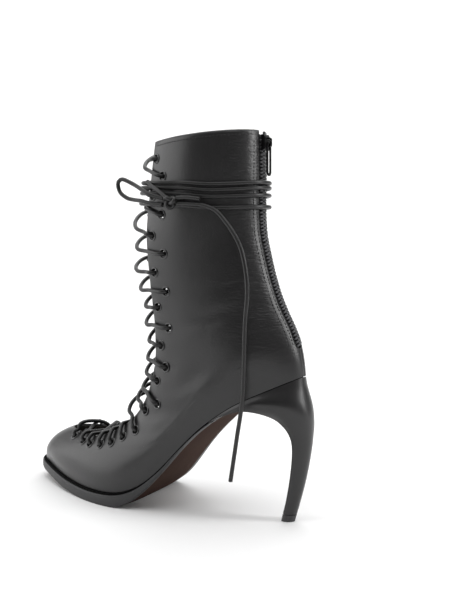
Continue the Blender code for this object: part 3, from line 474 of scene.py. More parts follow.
def throat_share(side, level):
    return edge_share(side, level, half_gap(level, THROAT_END_LEVEL, THROAT_ROUND, THROAT_COLUMN), True)


def zip_share(side, level):
    return edge_share(side, level, half_gap(level, ZIP_END_LEVEL, ZIP_ROUND, ZIP_COLUMN), False)


print("toe", np.round(upper_point(1, 0.0, 0.0), 1), "collar", np.round(upper_point(1, TOP_LEVEL, 1.0), 1))

# %% [markdown]
# ## Adding a piece
# Every piece needs the same few steps: points to metres, faces, material, smooth shading with sharp edges
# kept, and the frame calls that say which body it moves with and which solids it stands for.

# %% One function for mesh pieces
WELD = 0.004
SLIVER = 0.002


def join_frame(obj, nodes):
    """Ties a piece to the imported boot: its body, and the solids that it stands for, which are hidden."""
    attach(obj, "boot")
    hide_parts(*nodes)


def add_piece(name, points, faces, materials, nodes, face_materials=None, sharp=38.0):
    mesh = bpy.data.meshes.new(name)
    bm = bmesh.new()
    verts = [bm.verts.new(metres(p)) for p in points]
    for k, face in enumerate(faces):
        made = bm.faces.new([verts[n] for n in face])
        made.material_index = 0 if face_materials is None else face_materials[k]
    bmesh.ops.remove_doubles(bm, verts=bm.verts, dist=WELD * MM)
    bmesh.ops.dissolve_degenerate(bm, edges=bm.edges, dist=SLIVER * MM)
    bmesh.ops.recalc_face_normals(bm, faces=bm.faces)
    bm.to_mesh(mesh)
    bm.free()
    for material in materials:
        mesh.materials.append(material)
    mesh.shade_smooth()
    mesh.set_sharp_from_angle(angle=math.radians(sharp))
    obj = link_new(name, mesh)
    join_frame(obj, nodes)
    print(name, len(mesh.polygons), "faces")
    return obj


# %% [markdown]
# ## Eyelet places
# The eyelets come before the upper, because the leather is punched for them: an inner row close to the
# throat edge and an outer row behind it, staggered up the shaft, and one curved row on the vamp.

# %% Eyelets: level, share along the girth line
EYELETS = [
    (2.64, 0.094), (2.68, 0.162), (2.73, 0.204), (2.88, 0.254), (3.16, 0.288), (3.66, 0.298), (4.12, 0.324),
    (5.32, 0.253), (5.48, 0.332), (6.48, 0.246), (6.80, 0.311), (7.48, 0.254), (7.80, 0.340), (8.40, 0.262),
    (8.64, 0.364), (9.16, 0.284), (9.48, 0.390), (9.96, 0.294), (10.36, 0.380), (10.82, 0.268),
    (11.20, 0.352), (11.62, 0.250),
]
eyelet_frames = {(side, k): upper_frame(side, *row) for side in (1, -1) for k, row in enumerate(EYELETS)}
print("eyelets", len(eyelet_frames))

# %% [markdown]
# ## The upper
# One hide wraps the foot, open at the front for the lacing and at the back for the zip. It could be a
# subdivided cage, but a fine grid on the last keeps the true shape, and each grid point can still be moved
# for a crease. The inside is the same grid one leather thickness in, in lining leather, and the cut edges
# are rounded strips.

# %% Grid of the upper
COLUMNS = 84
# rows of points below the zip, from there to the throat, round the throat's end, and above
ROW_COUNTS = (18, 9, 20, 102)
row_levels = np.concatenate([
    np.linspace(0.0, ZIP_END_LEVEL, ROW_COUNTS[0], endpoint=False),
    ZIP_END_LEVEL + (THROAT_END_LEVEL - ZIP_END_LEVEL) * np.linspace(0.0, 1.0, ROW_COUNTS[1])[:-1] ** 2,
    THROAT_END_LEVEL + THROAT_ROUND * np.linspace(0.0, 1.0, ROW_COUNTS[2])[:-1] ** 2,
    np.linspace(THROAT_END_LEVEL + THROAT_ROUND, TOP_LEVEL, ROW_COUNTS[3]),
])


def side_row(side, level):
    """Points and normals of one girth line, from the throat edge to the zip edge."""
    s0 = math.acos(1.0 - 2.0 * throat_share(side, level))
    s1 = math.acos(1.0 - 2.0 * zip_share(side, level))
    spots = upper_frame(side, level, (1.0 - np.cos(np.linspace(s0, s1, COLUMNS))) / 2.0)
    return spots[0], spots[3]


grids, normals = {}, {}
for side in (1, -1):
    grids[side], normals[side] = (np.array(v) for v in zip(*[side_row(side, float(k)) for k in row_levels]))
for column, end in ((0, THROAT_END_LEVEL), (-1, ZIP_END_LEVEL)):
    closed = row_levels <= end
    shared = unit(normals[1][closed, column] + normals[-1][closed, column])
    normals[1][closed, column] = shared
    normals[-1][closed, column] = shared
print("grid", grids[1].shape)

# %% [markdown]
# ## Creases
# A worn ankle leaves shallow folds that run from the zip forward and down. Sculpting or a bump map could show
# them, but each one is listed here: the grid is pressed in along a short line and puffed beside it, so
# that the fold also bends the light at its edges.

# %% Creases pressed into the leather
# side, level, share, half length, half width, depth, tilt from the girth line in degrees
CREASES = [
    (1, 8.2, 0.92, 12.0, 2.0, 0.22, 12.0), (1, 7.3, 0.90, 14.0, 2.2, 0.25, 18.0),
    (1, 6.6, 0.78, 24.0, 4.0, 0.45, 26.0), (1, 6.0, 0.56, 26.0, 5.0, 0.55, 40.0),
    (1, 5.2, 0.62, 26.0, 4.4, 0.40, 22.0), (1, 4.9, 0.44, 24.0, 4.2, 0.35, 12.0),
    (-1, 8.3, 0.92, 12.0, 2.0, 0.25, 14.0), (-1, 7.0, 0.88, 16.0, 2.4, 0.30, 18.0),
    (-1, 5.8, 0.66, 24.0, 4.2, 0.40, 24.0),
]
PUFF = 0.42
PUFF_AWAY = 1.7
REACH_THROUGH = 30.0
SEAM_DEPTH = 0.45
for side, level, share, half_long, half_wide, depth, tilt in CREASES:
    centre, along, up, normal = upper_frame(side, level, share)
    run = along * math.cos(math.radians(tilt)) - up * math.sin(math.radians(tilt))
    off = grids[side] - centre
    fade = np.exp(-(off @ run / half_long) ** 2) * np.exp(-(off @ normal / REACH_THROUGH) ** 2)
    across = off @ np.cross(normal, run) / half_wide
    ridges = np.exp(-(across - PUFF_AWAY) ** 2) + np.exp(-(across + PUFF_AWAY) ** 2)
    press = depth * fade * (PUFF * ridges - np.exp(-across ** 2))
    grids[side] = grids[side] + normals[side] * press[..., None]
below_zip = row_levels < ZIP_END_LEVEL
for side in (1, -1):
    grids[side][below_zip, -1] -= SEAM_DEPTH * normals[side][below_zip, -1]
print("creases", len(CREASES))

# %% Skins, punched holes and rounded edges
PUNCH = 2.75
EDGE_ROUND = 0.5
MARGIN_IN = 2.2
MARGIN_DOWN = 1.4
NEARLY = 1e-6
CALF_FACE, LINING_FACE, MARGIN_SHADE_FACE = 0, 1, 2
rows, columns = grids[1].shape[:2]
points, faces, face_materials = [], [], []


def lay_skin(grid, material, eyelets):
    """Quads over one grid, left out where an eyelet is punched; returns the grid's first point number."""
    first = len(points)
    points.extend(grid.reshape(-1, 3))
    middles = (grid[:-1, :-1] + grid[1:, :-1] + grid[:-1, 1:] + grid[1:, 1:]) / 4.0
    punched = np.zeros(middles.shape[:2], bool)
    for p in eyelets:
        punched |= np.linalg.norm(middles - p, axis=2) < PUNCH
    for j, i in zip(*np.where(~punched)):
        a = first + j * columns + i
        faces.append((a, a + 1, a + columns + 1, a + columns))
        face_materials.append(material)
    return first


def lay_edge(outer, inner, picks, pull):
    """Rounded strip between two skins along a list of (row, column) picks, swollen outward along pull."""
    first = len(points)
    for j, i in picks:
        a, b = np.array(points[outer + j * columns + i]), np.array(points[inner + j * columns + i])
        points.append((a + b) / 2.0 + EDGE_ROUND * pull(j, i))
    for k in range(len(picks) - 1):
        (j0, i0), (j1, i1) = picks[k], picks[k + 1]
        for base in (outer, inner):
            faces.append((base + j0 * columns + i0, base + j1 * columns + i1, first + k + 1, first + k))
            face_materials.append(CALF_FACE)


for side in (1, -1):
    grid = grids[side]
    holes = [eyelet_frames[side, k] for k in range(len(EYELETS))]
    outer = lay_skin(grid, CALF_FACE, [p for p, along, up, n in holes])
    inner = lay_skin(grid - WALL * normals[side], LINING_FACE, [p - WALL * n for p, along, up, n in holes])
    forward = unit(grid[:, 0] - grid[:, 1])
    backward = unit(grid[:, -1] - grid[:, -2])
    upward = unit(grid[-1] - grid[-2])
    open_front = [(j, 0) for j in range(rows) if row_levels[j] >= THROAT_END_LEVEL - NEARLY]
    open_back = [(j, columns - 1) for j in range(rows) if row_levels[j] >= ZIP_END_LEVEL - NEARLY]
    lay_edge(outer, inner, open_front, lambda j, i: forward[j])
    lay_edge(outer, inner, open_back, lambda j, i: backward[j])
    lay_edge(outer, inner, [(rows - 1, i) for i in range(columns)], lambda j, i: upward[i])
    # The bottom edge of the upper and a strip down its inside take the near-black welt finish: painted shade
    # for the dark seam above the sole and the heel.
    margin = len(points)
    points.extend(grid[0] - MARGIN_IN * normals[side][0] - (0.0, 0.0, MARGIN_DOWN))
    for i in range(columns - 1):
        faces.append((inner + i, inner + i + 1, margin + i + 1, margin + i))
        faces.append((outer + i, outer + i + 1, inner + i + 1, inner + i))
        face_materials += [MARGIN_SHADE_FACE, MARGIN_SHADE_FACE]
add_piece("leather_upper", points, faces, [calf, lining, welt_and_painted_shade], ["upper"],
          face_materials, sharp=80.0)

# %% [markdown]
# ## Eyelets
# Each eyelet is a pressed brass ring in black enamel: a domed flange on the leather and a barrel through
# it. A thin grey metal ring on the inner slope of the flange is a painted glint, for the small lights on
# the rims. One turned profile is repeated at every place.

# %% Turned eyelet rings
RING_SIDES = 28
# radius, height over the leather, material (0 enamel, 1 grey ring of painted glint)
RING_PROFILE = [
    (3.9, -0.1, 0), (3.9, 0.2, 0), (3.7, 0.45, 0), (3.35, 0.55, 0), (3.05, 0.5, 1), (2.85, 0.35, 0),
    (2.65, 0.0, 0), (2.6, -2.4, 0),
]


def ring_faces(first, rings, count):
    """Quads between closed rings of points that follow each other."""
    faces = []
    for a in range(first, first + (rings - 1) * count, count):
        for n in range(count):
            m = (n + 1) % count
            faces.append((a + n, a + m, a + count + m, a + count + n))
    return faces


points, faces, face_materials = [], [], []
turns = np.linspace(0.0, 2.0 * math.pi, RING_SIDES, endpoint=False)
for p, along, up, n in eyelet_frames.values():
    across = np.cross(n, along)
    faces += ring_faces(len(points), len(RING_PROFILE), RING_SIDES)
    for radius, height, material in RING_PROFILE:
        for turn in turns:
            points.append(p + radius * (math.cos(turn) * along + math.sin(turn) * across) + height * n)
    for radius, height, material in RING_PROFILE[:-1]:
        face_materials += [material] * RING_SIDES
eyelet_nodes = ["eyelet_%s_%02d" % (word, k + 1) for word in ("out", "in") for k in range(len(EYELETS))]
add_piece("eyelets", points, faces, [enamel, glint_ring], eyelet_nodes, face_materials)

# %% [markdown]
# ## Sole, welt and insole
# The sole is a thick leather plate with an inked edge and a brown underside. Round the forefoot a thin
# black welt runs above it. Each plate follows the feather line, moved outward, with a rounded edge between
# top and underside.

# %% Tables of the sole
SOLE_BOTTOM = [
    (37.0, 80.4), (48.0, 77.2), (58.0, 72.2), (70.0, 61.4), (85.0, 46.6), (100.0, 29.6), (113.0, 15.0),
    (121.0, 7.0), (127.0, 2.4), (132.0, 0.4), (137.0, 0.0), (172.0, 0.0), (186.0, 0.9), (200.0, 2.4),
    (215.0, 4.6), (230.0, 6.8), (247.0, 9.4),
]
SOLE_EDGE = [
    (37.0, 1.4), (75.0, 1.5), (90.0, 2.4), (100.0, 3.8), (113.0, 6.4), (125.0, 8.8), (138.0, 11.0),
    (247.0, 11.0),
]
SOLE_REACH = [
    (37.0, -3.2), (63.0, -3.2), (70.0, -0.6), (80.0, 0.0), (95.0, 0.3), (112.0, 1.6), (128.0, 2.6),
    (200.0, 2.8), (240.0, 3.0), (247.0, 3.0),
]
WELT_HEIGHT = [(97.0, 0.6), (112.0, 0.9), (128.0, 1.0), (247.0, 1.0)]
WELT_END_X = 97.0
BREAST_X = 38.0
CLEAR = 0.3


def at_x(table):
    """A table as a function of x that gives one plain number."""
    return lambda x: float(smooth(table, x))


feather, sole_centre, sole_edge = at_x(FEATHER), at_x(SOLE_BOTTOM), at_x(SOLE_EDGE)
sole_reach, welt_height = at_x(SOLE_REACH), at_x(WELT_HEIGHT)
print("reach of the sole at the ball", round(sole_reach(150.0), 2))

# %% Plates across the foot
ACROSS = 15
RIM_POINTS = 6
LOOP_POINTS = 2 * (ACROSS + RIM_POINTS)
INKED = 1
TOP_FACE, EDGE_FACE, UNDER_FACE = 0, 1, 2
toe_x, heel_x = LEVELS[0][0], LEVELS[0][3]


def share_at(x):
    return (toe_x - x) / (toe_x - heel_x)


def outline_point(side, c, reach):
    """Plan point on the feather line moved outward by a reach, square to the line."""
    s = math.acos(1.0 - 2.0 * min(max(c, 0.0), 1.0))
    p = upper_point(side, 0.0, c)[:2]
    if s < TURN_STEP:
        return p + (reach, 0.0)
    a, b = (upper_point(side, 0.0, (1.0 - math.cos(s + d)) / 2.0)[:2] for d in (-TURN_STEP, TURN_STEP))
    return p + reach * unit(np.array(((b - a)[1], (a - b)[0]))) * side


def plate(shares, reach, top, bottom, bulge):
    """Closed loops across the foot, one for each share, lofted: points, faces and the zone of each face."""
    points = []
    q = np.linspace(0.0, 1.0, ACROSS)
    for c in shares:
        x_mid = toe_x + (heel_x - toe_x) * c
        ends = [outline_point(side, c, reach(x_mid)) for side in (-1, 1)]
        line = [ends[0] + (ends[1] - ends[0]) * t for t in q]
        rims = []
        for side, end, t in ((1, ends[1], 1.0), (-1, ends[0], 0.0)):
            rim = []
            for k in range(1, RIM_POINTS + 1):
                f = k / (RIM_POINTS + 1)
                x, y = outline_point(side, c, reach(x_mid) + bulge * roundness(f))
                rim.append((x, y, top(end[0], t) * (1 - f) + bottom(end[0], t) * f))
            rims.append(rim)
        points += [(x, y, top(x, t)) for (x, y), t in zip(line, q)] + rims[0]
        points += [(x, y, bottom(x, t)) for (x, y), t in zip(line[::-1], q[::-1])] + rims[1][::-1]
    rim_zone = [EDGE_FACE] * (RIM_POINTS + 1)
    under = [EDGE_FACE] * INKED + [UNDER_FACE] * (ACROSS - 1 - 2 * INKED) + [EDGE_FACE] * INKED
    zones = ([TOP_FACE] * (ACROSS - 1) + rim_zone + under + rim_zone) * (len(shares) - 1) + [EDGE_FACE]
    last_loop = tuple(range(len(points) - LOOP_POINTS, len(points)))
    return points, ring_faces(0, len(shares), LOOP_POINTS) + [last_loop], zones


def even_shares(first_x, last_x, count):
    """Shares from the toe backwards, close together where the toe is round."""
    s = np.linspace(math.acos(1.0 - 2.0 * share_at(first_x)), math.acos(1.0 - 2.0 * share_at(last_x)), count)
    return ((1.0 - np.cos(s)) / 2.0).tolist()


print("points in a loop", LOOP_POINTS)

# %% Sole, welt and insole
WELT_REACH_LESS = 1.2
WAIST_CLEAR = 0.9
# the sole steps up between these two distances, ahead of the welt's end and behind it
STEP_AHEAD, STEP_BEHIND = 0.2, 0.4
CROWN_START_X = 62.0
CROWN_POWER = 3
EDGE_INSET = 0.4
SOLE_BULGE, WELT_BULGE, INSOLE_BULGE = 0.4, 0.5, 0.3
INSOLE_ENDS = (toe_x - 5.0, 8.0)
INSOLE_INSET = 3.4
INSOLE_THICK = 2.0
INSOLE_RISE = 0.5
PLATE_STEPS, TONGUE_STEPS = 60, 30


def sole_top(x, t):
    if x > WELT_END_X:
        return feather(x) - 2.0 * CLEAR - welt_height(x)
    return feather(x) - WAIST_CLEAR


def sole_bottom(x, t):
    centre = sole_centre(x)
    edge = max(feather(x) - sole_edge(x), centre)
    crown = abs(2.0 * t - 1.0) ** CROWN_POWER if x > CROWN_START_X else 0.0
    return max(centre + (edge - centre) * crown, 0.0)


shares = even_shares(toe_x, WELT_END_X + STEP_AHEAD, PLATE_STEPS)
shares += even_shares(WELT_END_X - STEP_BEHIND, BREAST_X, TONGUE_STEPS)
points, faces, zones = plate(shares, lambda x: sole_reach(x) - EDGE_INSET, sole_top, sole_bottom, SOLE_BULGE)
add_piece("leather_sole", points, faces, [edge_ink, edge_ink, sole_hide], ["outsole"], zones)
points, faces, zones = plate(
    even_shares(toe_x, WELT_END_X, PLATE_STEPS), lambda x: sole_reach(x) - WELT_REACH_LESS - EDGE_INSET,
    lambda x, t: feather(x) - CLEAR, lambda x, t: feather(x) - CLEAR - welt_height(x), WELT_BULGE)
# The welt's near black is partly its own colour and partly painted shade for the groove over the sole.
add_piece("welt_strip", points, faces, [welt_and_painted_shade], ["welt"])
points, faces, zones = plate(
    even_shares(*INSOLE_ENDS, PLATE_STEPS), lambda x: -INSOLE_INSET - EDGE_INSET,
    lambda x, t: feather(x) + INSOLE_RISE + INSOLE_THICK, lambda x, t: feather(x) + INSOLE_RISE, INSOLE_BULGE)
add_piece("insole_board", points, faces, [lining], ["insole"])

# %% [markdown]
# ## Heel
# The heel is a slim horn with an arched breast, covered in the same calf as the upper. It is lofted through
# sections from the tip to the seat, where it takes the outline of the foot, and cut clear of the sole's
# tongue.

# %% Sections of the heel
# rear_x, rear_z, front_x, front_z, half_width, seat (share of the seat outline in the section)
HEEL = [
    (7.3, 0.0, 15.9, 0.0, 5.0, 0.0), (5.7, 5.5, 14.6, 5.5, 5.1, 0.0),
    (3.0, 15.0, 12.3, 14.2, 5.5, 0.0), (-0.4, 28.0, 9.8, 27.0, 6.1, 0.0),
    (-3.3, 42.0, 7.8, 40.5, 6.9, 0.0), (-5.3, 55.0, 6.8, 52.5, 8.0, 0.0),
    (-6.1, 64.0, 7.6, 61.0, 9.4, 0.0), (-6.3, 71.0, 10.8, 68.5, 11.6, 0.05),
    (-5.6, 78.5, 17.0, 75.0, 14.6, 0.15), (-4.2, 85.0, 26.5, 79.2, 18.0, 0.42),
    (-2.4, 91.5, 37.5, 80.4, 21.5, 0.72), (-0.8, 98.0, 49.0, 77.2, 24.0, 0.93),
    (0.2, 104.7, 62.0, 70.6, 25.5, 1.00),
]
SEAT_CLEAR = 0.55
HEEL_ROUND = 25
# a section is narrower at its breast, widens over a share of its length and closes round the back
BREAST_NARROW = 0.82
BREAST_LONG = 0.3
BACK_POWER = 3


def heel_section(place):
    """Closed loop of the heel at a place between the rows of its table."""
    rear_x, rear_z, front_x, front_z, half, seat = row_at(HEEL, place)
    top = HEEL[-1]
    e = (1.0 - np.cos(np.linspace(0.0, math.pi, HEEL_ROUND))) / 2.0
    seat_x = top[2] + (top[0] - top[2]) * e
    straight = top[3] + (top[1] - top[3]) * e
    z = front_z + (rear_z - front_z) * e + seat * (smooth(FEATHER, seat_x) - SEAT_CLEAR - straight)
    wide = BREAST_NARROW + (1.0 - BREAST_NARROW) * np.minimum(e / BREAST_LONG, 1.0)
    plain = half * wide * np.sqrt(np.clip(1.0 - e ** BACK_POWER, 0.0, None))
    x = front_x + (rear_x - front_x) * e
    loop = []
    for side, order in ((1, slice(None)), (-1, slice(-2, None, -1))):
        seat_y = np.abs(upper_point(side, 0.0, np.minimum(share_at(seat_x), 1.0))[:, 1])
        y = side * (plain * (1.0 - seat) + seat_y * seat)
        loop += list(np.stack([x, y, z], -1)[order])
    return loop


print("points in a section", len(heel_section(0.0)))

# %% Covered heel, its slot and its tip
HEEL_LOOPS, TIP_LOOPS = 78, 4
TIP_TOP = 0.93
HEEL_SHARP, TIP_SHARP = 32.0, 40.0
TONGUE_END_X = 63.0
SLOT_FRONT_X = 76.0
SLOT_STEPS = 24
SLOT_UP, SLOT_DOWN = 8.0, 24.0


def loft_loops(loops):
    """Closed loops joined into a solid with a flat face at each end."""
    count = len(loops[0])
    points = [p for loop in loops for p in loop]
    ends = [tuple(range(count)), tuple(range(len(points) - count, len(points)))]
    return points, ends + ring_faces(0, len(loops), count)


def cut_away(target, cutter):
    """Exact Boolean difference, applied to the target's mesh."""
    cutter.parent = None
    modifier = target.modifiers.new("cut", "BOOLEAN")
    modifier.operation = "DIFFERENCE"
    modifier.solver = "EXACT"
    modifier.object = cutter
    bpy.context.view_layer.update()
    result = bpy.data.meshes.new_from_object(target.evaluated_get(bpy.context.evaluated_depsgraph_get()))
    target.modifiers.clear()
    target.data = result
    bpy.data.objects.remove(cutter, do_unlink=True)


points, faces = loft_loops([heel_section(place) for place in np.linspace(1.0, len(HEEL) - 1.0, HEEL_LOOPS)])
heel = add_piece("covered_heel", points, faces, [calf], ["heel"], sharp=HEEL_SHARP)
points, faces, zones = plate(
    [share_at(x) for x in np.linspace(SLOT_FRONT_X, BREAST_X - CLEAR, SLOT_STEPS)],
    lambda x: sole_reach(min(x, TONGUE_END_X)) + CLEAR,
    lambda x, t: feather(x) + SLOT_UP, lambda x, t: feather(x) - SLOT_DOWN, 0.0)
first_loop = tuple(range(LOOP_POINTS))
slot_cutter = add_piece("slot_cutter", points, faces + [first_loop], [calf], [])
cut_away(heel, slot_cutter)
heel.data.set_sharp_from_angle(angle=math.radians(HEEL_SHARP))
points, faces = loft_loops([heel_section(place) for place in np.linspace(0.0, TIP_TOP, TIP_LOOPS)])
add_piece("heel_top_piece", points, faces, [tip_rubber], ["heel_tip"], sharp=TIP_SHARP)

# %% [markdown]
# ## Zip
# The centre-back zip is a woven tape behind the slot with two rows of small moulded teeth that mesh in its
# middle. The teeth are made one by one, left and right in turn. The slider and its pull are the packed
# solids themselves, in dark nickel, because their shapes are already right.

# %% Tape
TAPE_HALF = 7.0
TAPE_CLEAR = 0.55
TAPE_DEPTH = WALL + TAPE_CLEAR
TAPE_THICK = 0.7
TAPE_TOP = 11.93
TAPE_ROWS, TAPE_POINTS = 72, 9
NEAR_BACK = 0.999
BACK_STEP = 0.1


def back_line(level):
    """Point, outward normal and upward tangent on the centre-back line."""
    above = upper_point(1, min(level + BACK_STEP, TOP_LEVEL), 1.0)
    up = unit(above - upper_point(1, max(level - BACK_STEP, 0.0), 1.0))
    return upper_point(1, level, 1.0), np.array((-up[2], 0.0, up[0])), up


sections = []
for level in np.linspace(ZIP_END_LEVEL, TAPE_TOP, TAPE_ROWS).tolist():
    row = []
    for y in np.linspace(-TAPE_HALF, TAPE_HALF, TAPE_POINTS).tolist():
        side = 1 if y >= 0 else -1
        c = edge_share(side, level, abs(y), False)
        outward = upper_frame(side, level, min(c, NEAR_BACK))[3]
        row.append(upper_point(side, level, c) - TAPE_DEPTH * outward)
    normal = back_line(level)[1]
    sections.append(row + [q - TAPE_THICK * normal for q in row[::-1]])
points, faces = loft_loops(sections)
add_piece("zip_tape_woven", points, faces, [tape_weave], ["zip_tape"])

# %% Teeth, slider and pull
TOOTH_PITCH = 2.5
TOOTH_LONG = 4.3
TOOTH_LAP = 0.6
TOOTH_HIGH = 1.3
TOOTH_RISE = 0.5
TOOTH_SLANT = 0.7
TOOTH_WAIST = 1.4
TOOTH_LEVELS = (2.82, 11.9)
BACK_POINTS = 400
# corners of a tooth: way along it from the meshing line, share of its height
TOOTH_END = TOOTH_LONG - TOOTH_LAP
TOOTH_CORNERS = ((-TOOTH_LAP, -0.5), (TOOTH_END, -0.5), (TOOTH_END, 0.5), (-TOOTH_LAP, 0.5))
# its rings from the tape outward: distance from the leather, share of its height, share of its length
TOOTH_RINGS = ((-TAPE_DEPTH, 1.0, 1.0), (0.0, 1.0, 1.0), (TOOTH_RISE, 0.6, 0.76))


def walked(line):
    """Way along a line of points, at each of them."""
    return np.concatenate([[0.0], np.cumsum(np.linalg.norm(np.diff(np.array(line), axis=0), axis=1))])


backs = [back_line(level) for level in np.linspace(*TOOTH_LEVELS, BACK_POINTS).tolist()]
travel = walked([p for p, normal, up in backs])
points, faces = [], []
for k in range(int(travel[-1] / (TOOTH_PITCH / 2.0))):
    p, normal, up = backs[int(np.searchsorted(travel, k * TOOTH_PITCH / 2.0))]
    hand = 1.0 if k % 2 else -1.0
    first = len(points)
    for out, high, long in TOOTH_RINGS:
        for y, u in TOOTH_CORNERS:
            sway = up * (u * TOOTH_HIGH * high - TOOTH_SLANT * y / TOOTH_LONG)
            aside = np.array((0.0, -hand * (TOOTH_WAIST + (y - TOOTH_WAIST) * long), 0.0))
            points.append(p + out * normal + aside + sway)
    faces.append(tuple(range(len(points) - len(TOOTH_CORNERS), len(points))))
    faces += ring_faces(first, len(TOOTH_RINGS), len(TOOTH_CORNERS))
add_piece("zip_teeth", points, faces, [teeth_metal], [], sharp=20.0)
for name in ("zip_slider", "zip_pull"):
    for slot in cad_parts[name].material_slots:
        slot.material = nickel

# %% [markdown]
# ## Stitches beside the zip and under the collar
# Two rows of lockstitch hold the zip on each side and one row closes the collar. A stitch is a short loop
# of thread that sinks into the leather at both ends, so each one is a small rounded bar, a little over two
# millimetres long.

# %% Rows of stitches
STITCH = 2.5
STITCH_GAP = 0.6
STITCH_RADIUS = 0.3
STITCH_PROUD = 0.1
STITCH_SIDES = 6
# share of half the stitch, share of its radius
STITCH_RINGS = ((-1.0, 0.3), (-0.6, 1.0), (0.6, 1.0), (1.0, 0.3))
ZIP_ROWS = (6.8, 9.6)
ZIP_ROW_LEVELS = (2.75, 11.85)
COLLAR_ROW = 11.9
ROW_END = 0.01
LINE_POINTS = 300


def even_steps(places):
    """Every place along a line of places that is one stitch on from the last."""
    walk = walked([place[0] for place in places])
    return [places[int(np.searchsorted(walk, d))] for d in np.arange(STITCH, walk[-1] - STITCH, STITCH)]


stitches = []
for side in (1, -1):
    for away_from_zip in ZIP_ROWS:
        line = [upper_frame(side, level, edge_share(side, level, away_from_zip, False))
                for level in np.linspace(*ZIP_ROW_LEVELS, LINE_POINTS).tolist()]
        stitches += [(p, up, along, n) for p, along, up, n in even_steps(line)]
    first, last = throat_share(side, COLLAR_ROW) + ROW_END, zip_share(side, COLLAR_ROW) - ROW_END
    line = [upper_frame(side, COLLAR_ROW, c) for c in np.linspace(first, last, LINE_POINTS).tolist()]
    stitches += even_steps(line)
points, faces = [], []
turns = np.linspace(0.0, 2.0 * math.pi, STITCH_SIDES, endpoint=False)
for p, run, across, n in stitches:
    faces += ring_faces(len(points), len(STITCH_RINGS), STITCH_SIDES)
    for f, swell in STITCH_RINGS:
        for turn in turns:
            ring = swell * STITCH_RADIUS * (math.cos(turn) * across + math.sin(turn) * n)
            points.append(p + f * (STITCH - STITCH_GAP) / 2.0 * run + ring + STITCH_PROUD * n)
add_piece("stitches", points, faces, [thread], [])

# %% [markdown]
# ## Lacing
# A round leather cord criss-crosses the throat. It comes out of an eyelet, runs over the edge, crosses the
# gap in a stiff forward bow, dips behind the other edge and comes out of the next eyelet there. A curve
# with a round bevel is the plain way to make a cord, with its points read from a smooth curve through a few
# chosen ones.

# %% Edges of the throat
EDGE_LEVELS = (THROAT_END_LEVEL + 0.02, 11.95)
EDGE_POINTS, FRONT_POINTS = 500, 241
LEAST_SHARE = 0.002
edges = {}
for side in (1, -1):
    spots = [upper_frame(side, level, max(throat_share(side, level), LEAST_SHARE))
             for level in np.linspace(*EDGE_LEVELS, EDGE_POINTS).tolist()]
    edges[side] = (np.array([s[0] for s in spots]), np.array([s[3] for s in spots]))
front_levels = np.linspace(0.0, TOP_LEVEL, FRONT_POINTS).tolist()
front_line = np.array([upper_point(1, level, 0.0) for level in front_levels])


def shortest_edge(side, a, b):
    """Throat edge point, and its normal, on the shortest way from one point to another."""
    line, normal = edges[side]
    k = int(np.argmin(np.linalg.norm(line - a, axis=1) + np.linalg.norm(line - b, axis=1)))
    return line[k], normal[k]


print("edge points", len(edges[1][0]))

# %% Route of a strand
CORD_RADIUS = 1.5
# How far the middle of each strand stands off the closed front line of the foot, from the toe up.
STRAND_LIFT = [
    1.6, -9.0, -9.0, -8.0, -7.0, -5.0, -3.0, -5.0, -7.0, -8.0, -8.7, -11.0, -8.8, -11.6, -8.4, -5.6, -9.0,
    -5.5, -19.8, -16.8, -8.0,
]
STRAIGHT_STRANDS = range(1, 6)
FIRST_SHAFT_STRAND = 6
INNER_BOW = 0.45
BOW_POWER = 2.4
BOW_RISE = 6.0
BOW_STEPS = (0.0, 0.03, 0.1, 0.2, 0.35, 0.5, 0.65, 0.8, 0.9, 0.97, 1.0)
# height over the leather and way ahead, where a cord comes out of its eyelet
EYELET_EXIT = ((-2.6, 0.0), (0.4, 0.3), (2.2, 2.0))
# gaps between cord and leather: over the near edge, on a long run, under the far edge, under the next eyelet
OVER_EDGE, ON_RUN, UNDER_EDGE, UNDER_EYELET = 0.5, 0.6, 0.4, 0.8
LONG_RUN = 7.0
SHORT_OF_EYELET = 1.2


def strand(number, side):
    """Route of one strand, from inside its eyelet to under the eyelet that it comes out of next."""
    p, along, up, n = eyelet_frames[side, number]
    q, *_, m = eyelet_frames[-side, number + 1]
    k = int(np.argmin(np.linalg.norm(front_line - (p + q) / 2.0, axis=1)))
    ridge = upper_frame(1, front_levels[k], 0.0)[3] * (1.0, 0.0, 1.0)
    crest = front_line[k] + STRAND_LIFT[number] * unit(ridge)
    near, near_normal = shortest_edge(side, p, crest)
    far, far_normal = shortest_edge(-side, q, crest)
    start = near + (CORD_RADIUS + OVER_EDGE) * near_normal
    end = far - (WALL + CORD_RADIUS + UNDER_EDGE) * far_normal
    bulge = (crest - (start + end) / 2.0) * (1.0, 0.0, 1.0) * (INNER_BOW if side < 0 else 1.0)
    if number in STRAIGHT_STRANDS:
        bulge = np.zeros(3)
    rise = np.array((0.0, 0.0, BOW_RISE if side > 0 and number >= FIRST_SHAFT_STRAND else 0.0))
    ahead = unit(start - p)
    route = [p + height * n + way * ahead for height, way in EYELET_EXIT]
    if np.linalg.norm(start - p) > LONG_RUN:
        route.append((p + start) / 2.0 + (CORD_RADIUS + ON_RUN) * n)
    for t in BOW_STEPS:
        swell = (1.0 - abs(2.0 * t - 1.0) ** BOW_POWER) ** (1.0 / BOW_POWER)
        route.append(start + (end - start) * t + bulge * swell + rise * math.sin(math.pi * t))
    route.append(q - (WALL + CORD_RADIUS + UNDER_EYELET) * m - SHORT_OF_EYELET * unit(q - end))
    return route


print("strands", len(STRAND_LIFT))

# %% Cord along a path
LACE_STEP = 1.6
# height over the leather and way back, where the cord ends in its top eyelet
TOP_EXIT = ((-2.6, 0.0), (0.4, 0.0), (2.0, -2.0), (1.4, -6.0))


def smooth_path(route, step):
    """Evenly spaced points on a smooth curve through a route."""
    route = np.array(route, float)
    walk = walked(route)
    at = np.linspace(0.0, walk[-1], max(int(walk[-1] / step), 2) + 1)
    return np.stack([smooth(list(zip(walk, route[:, axis])), at) for axis in range(3)], -1)


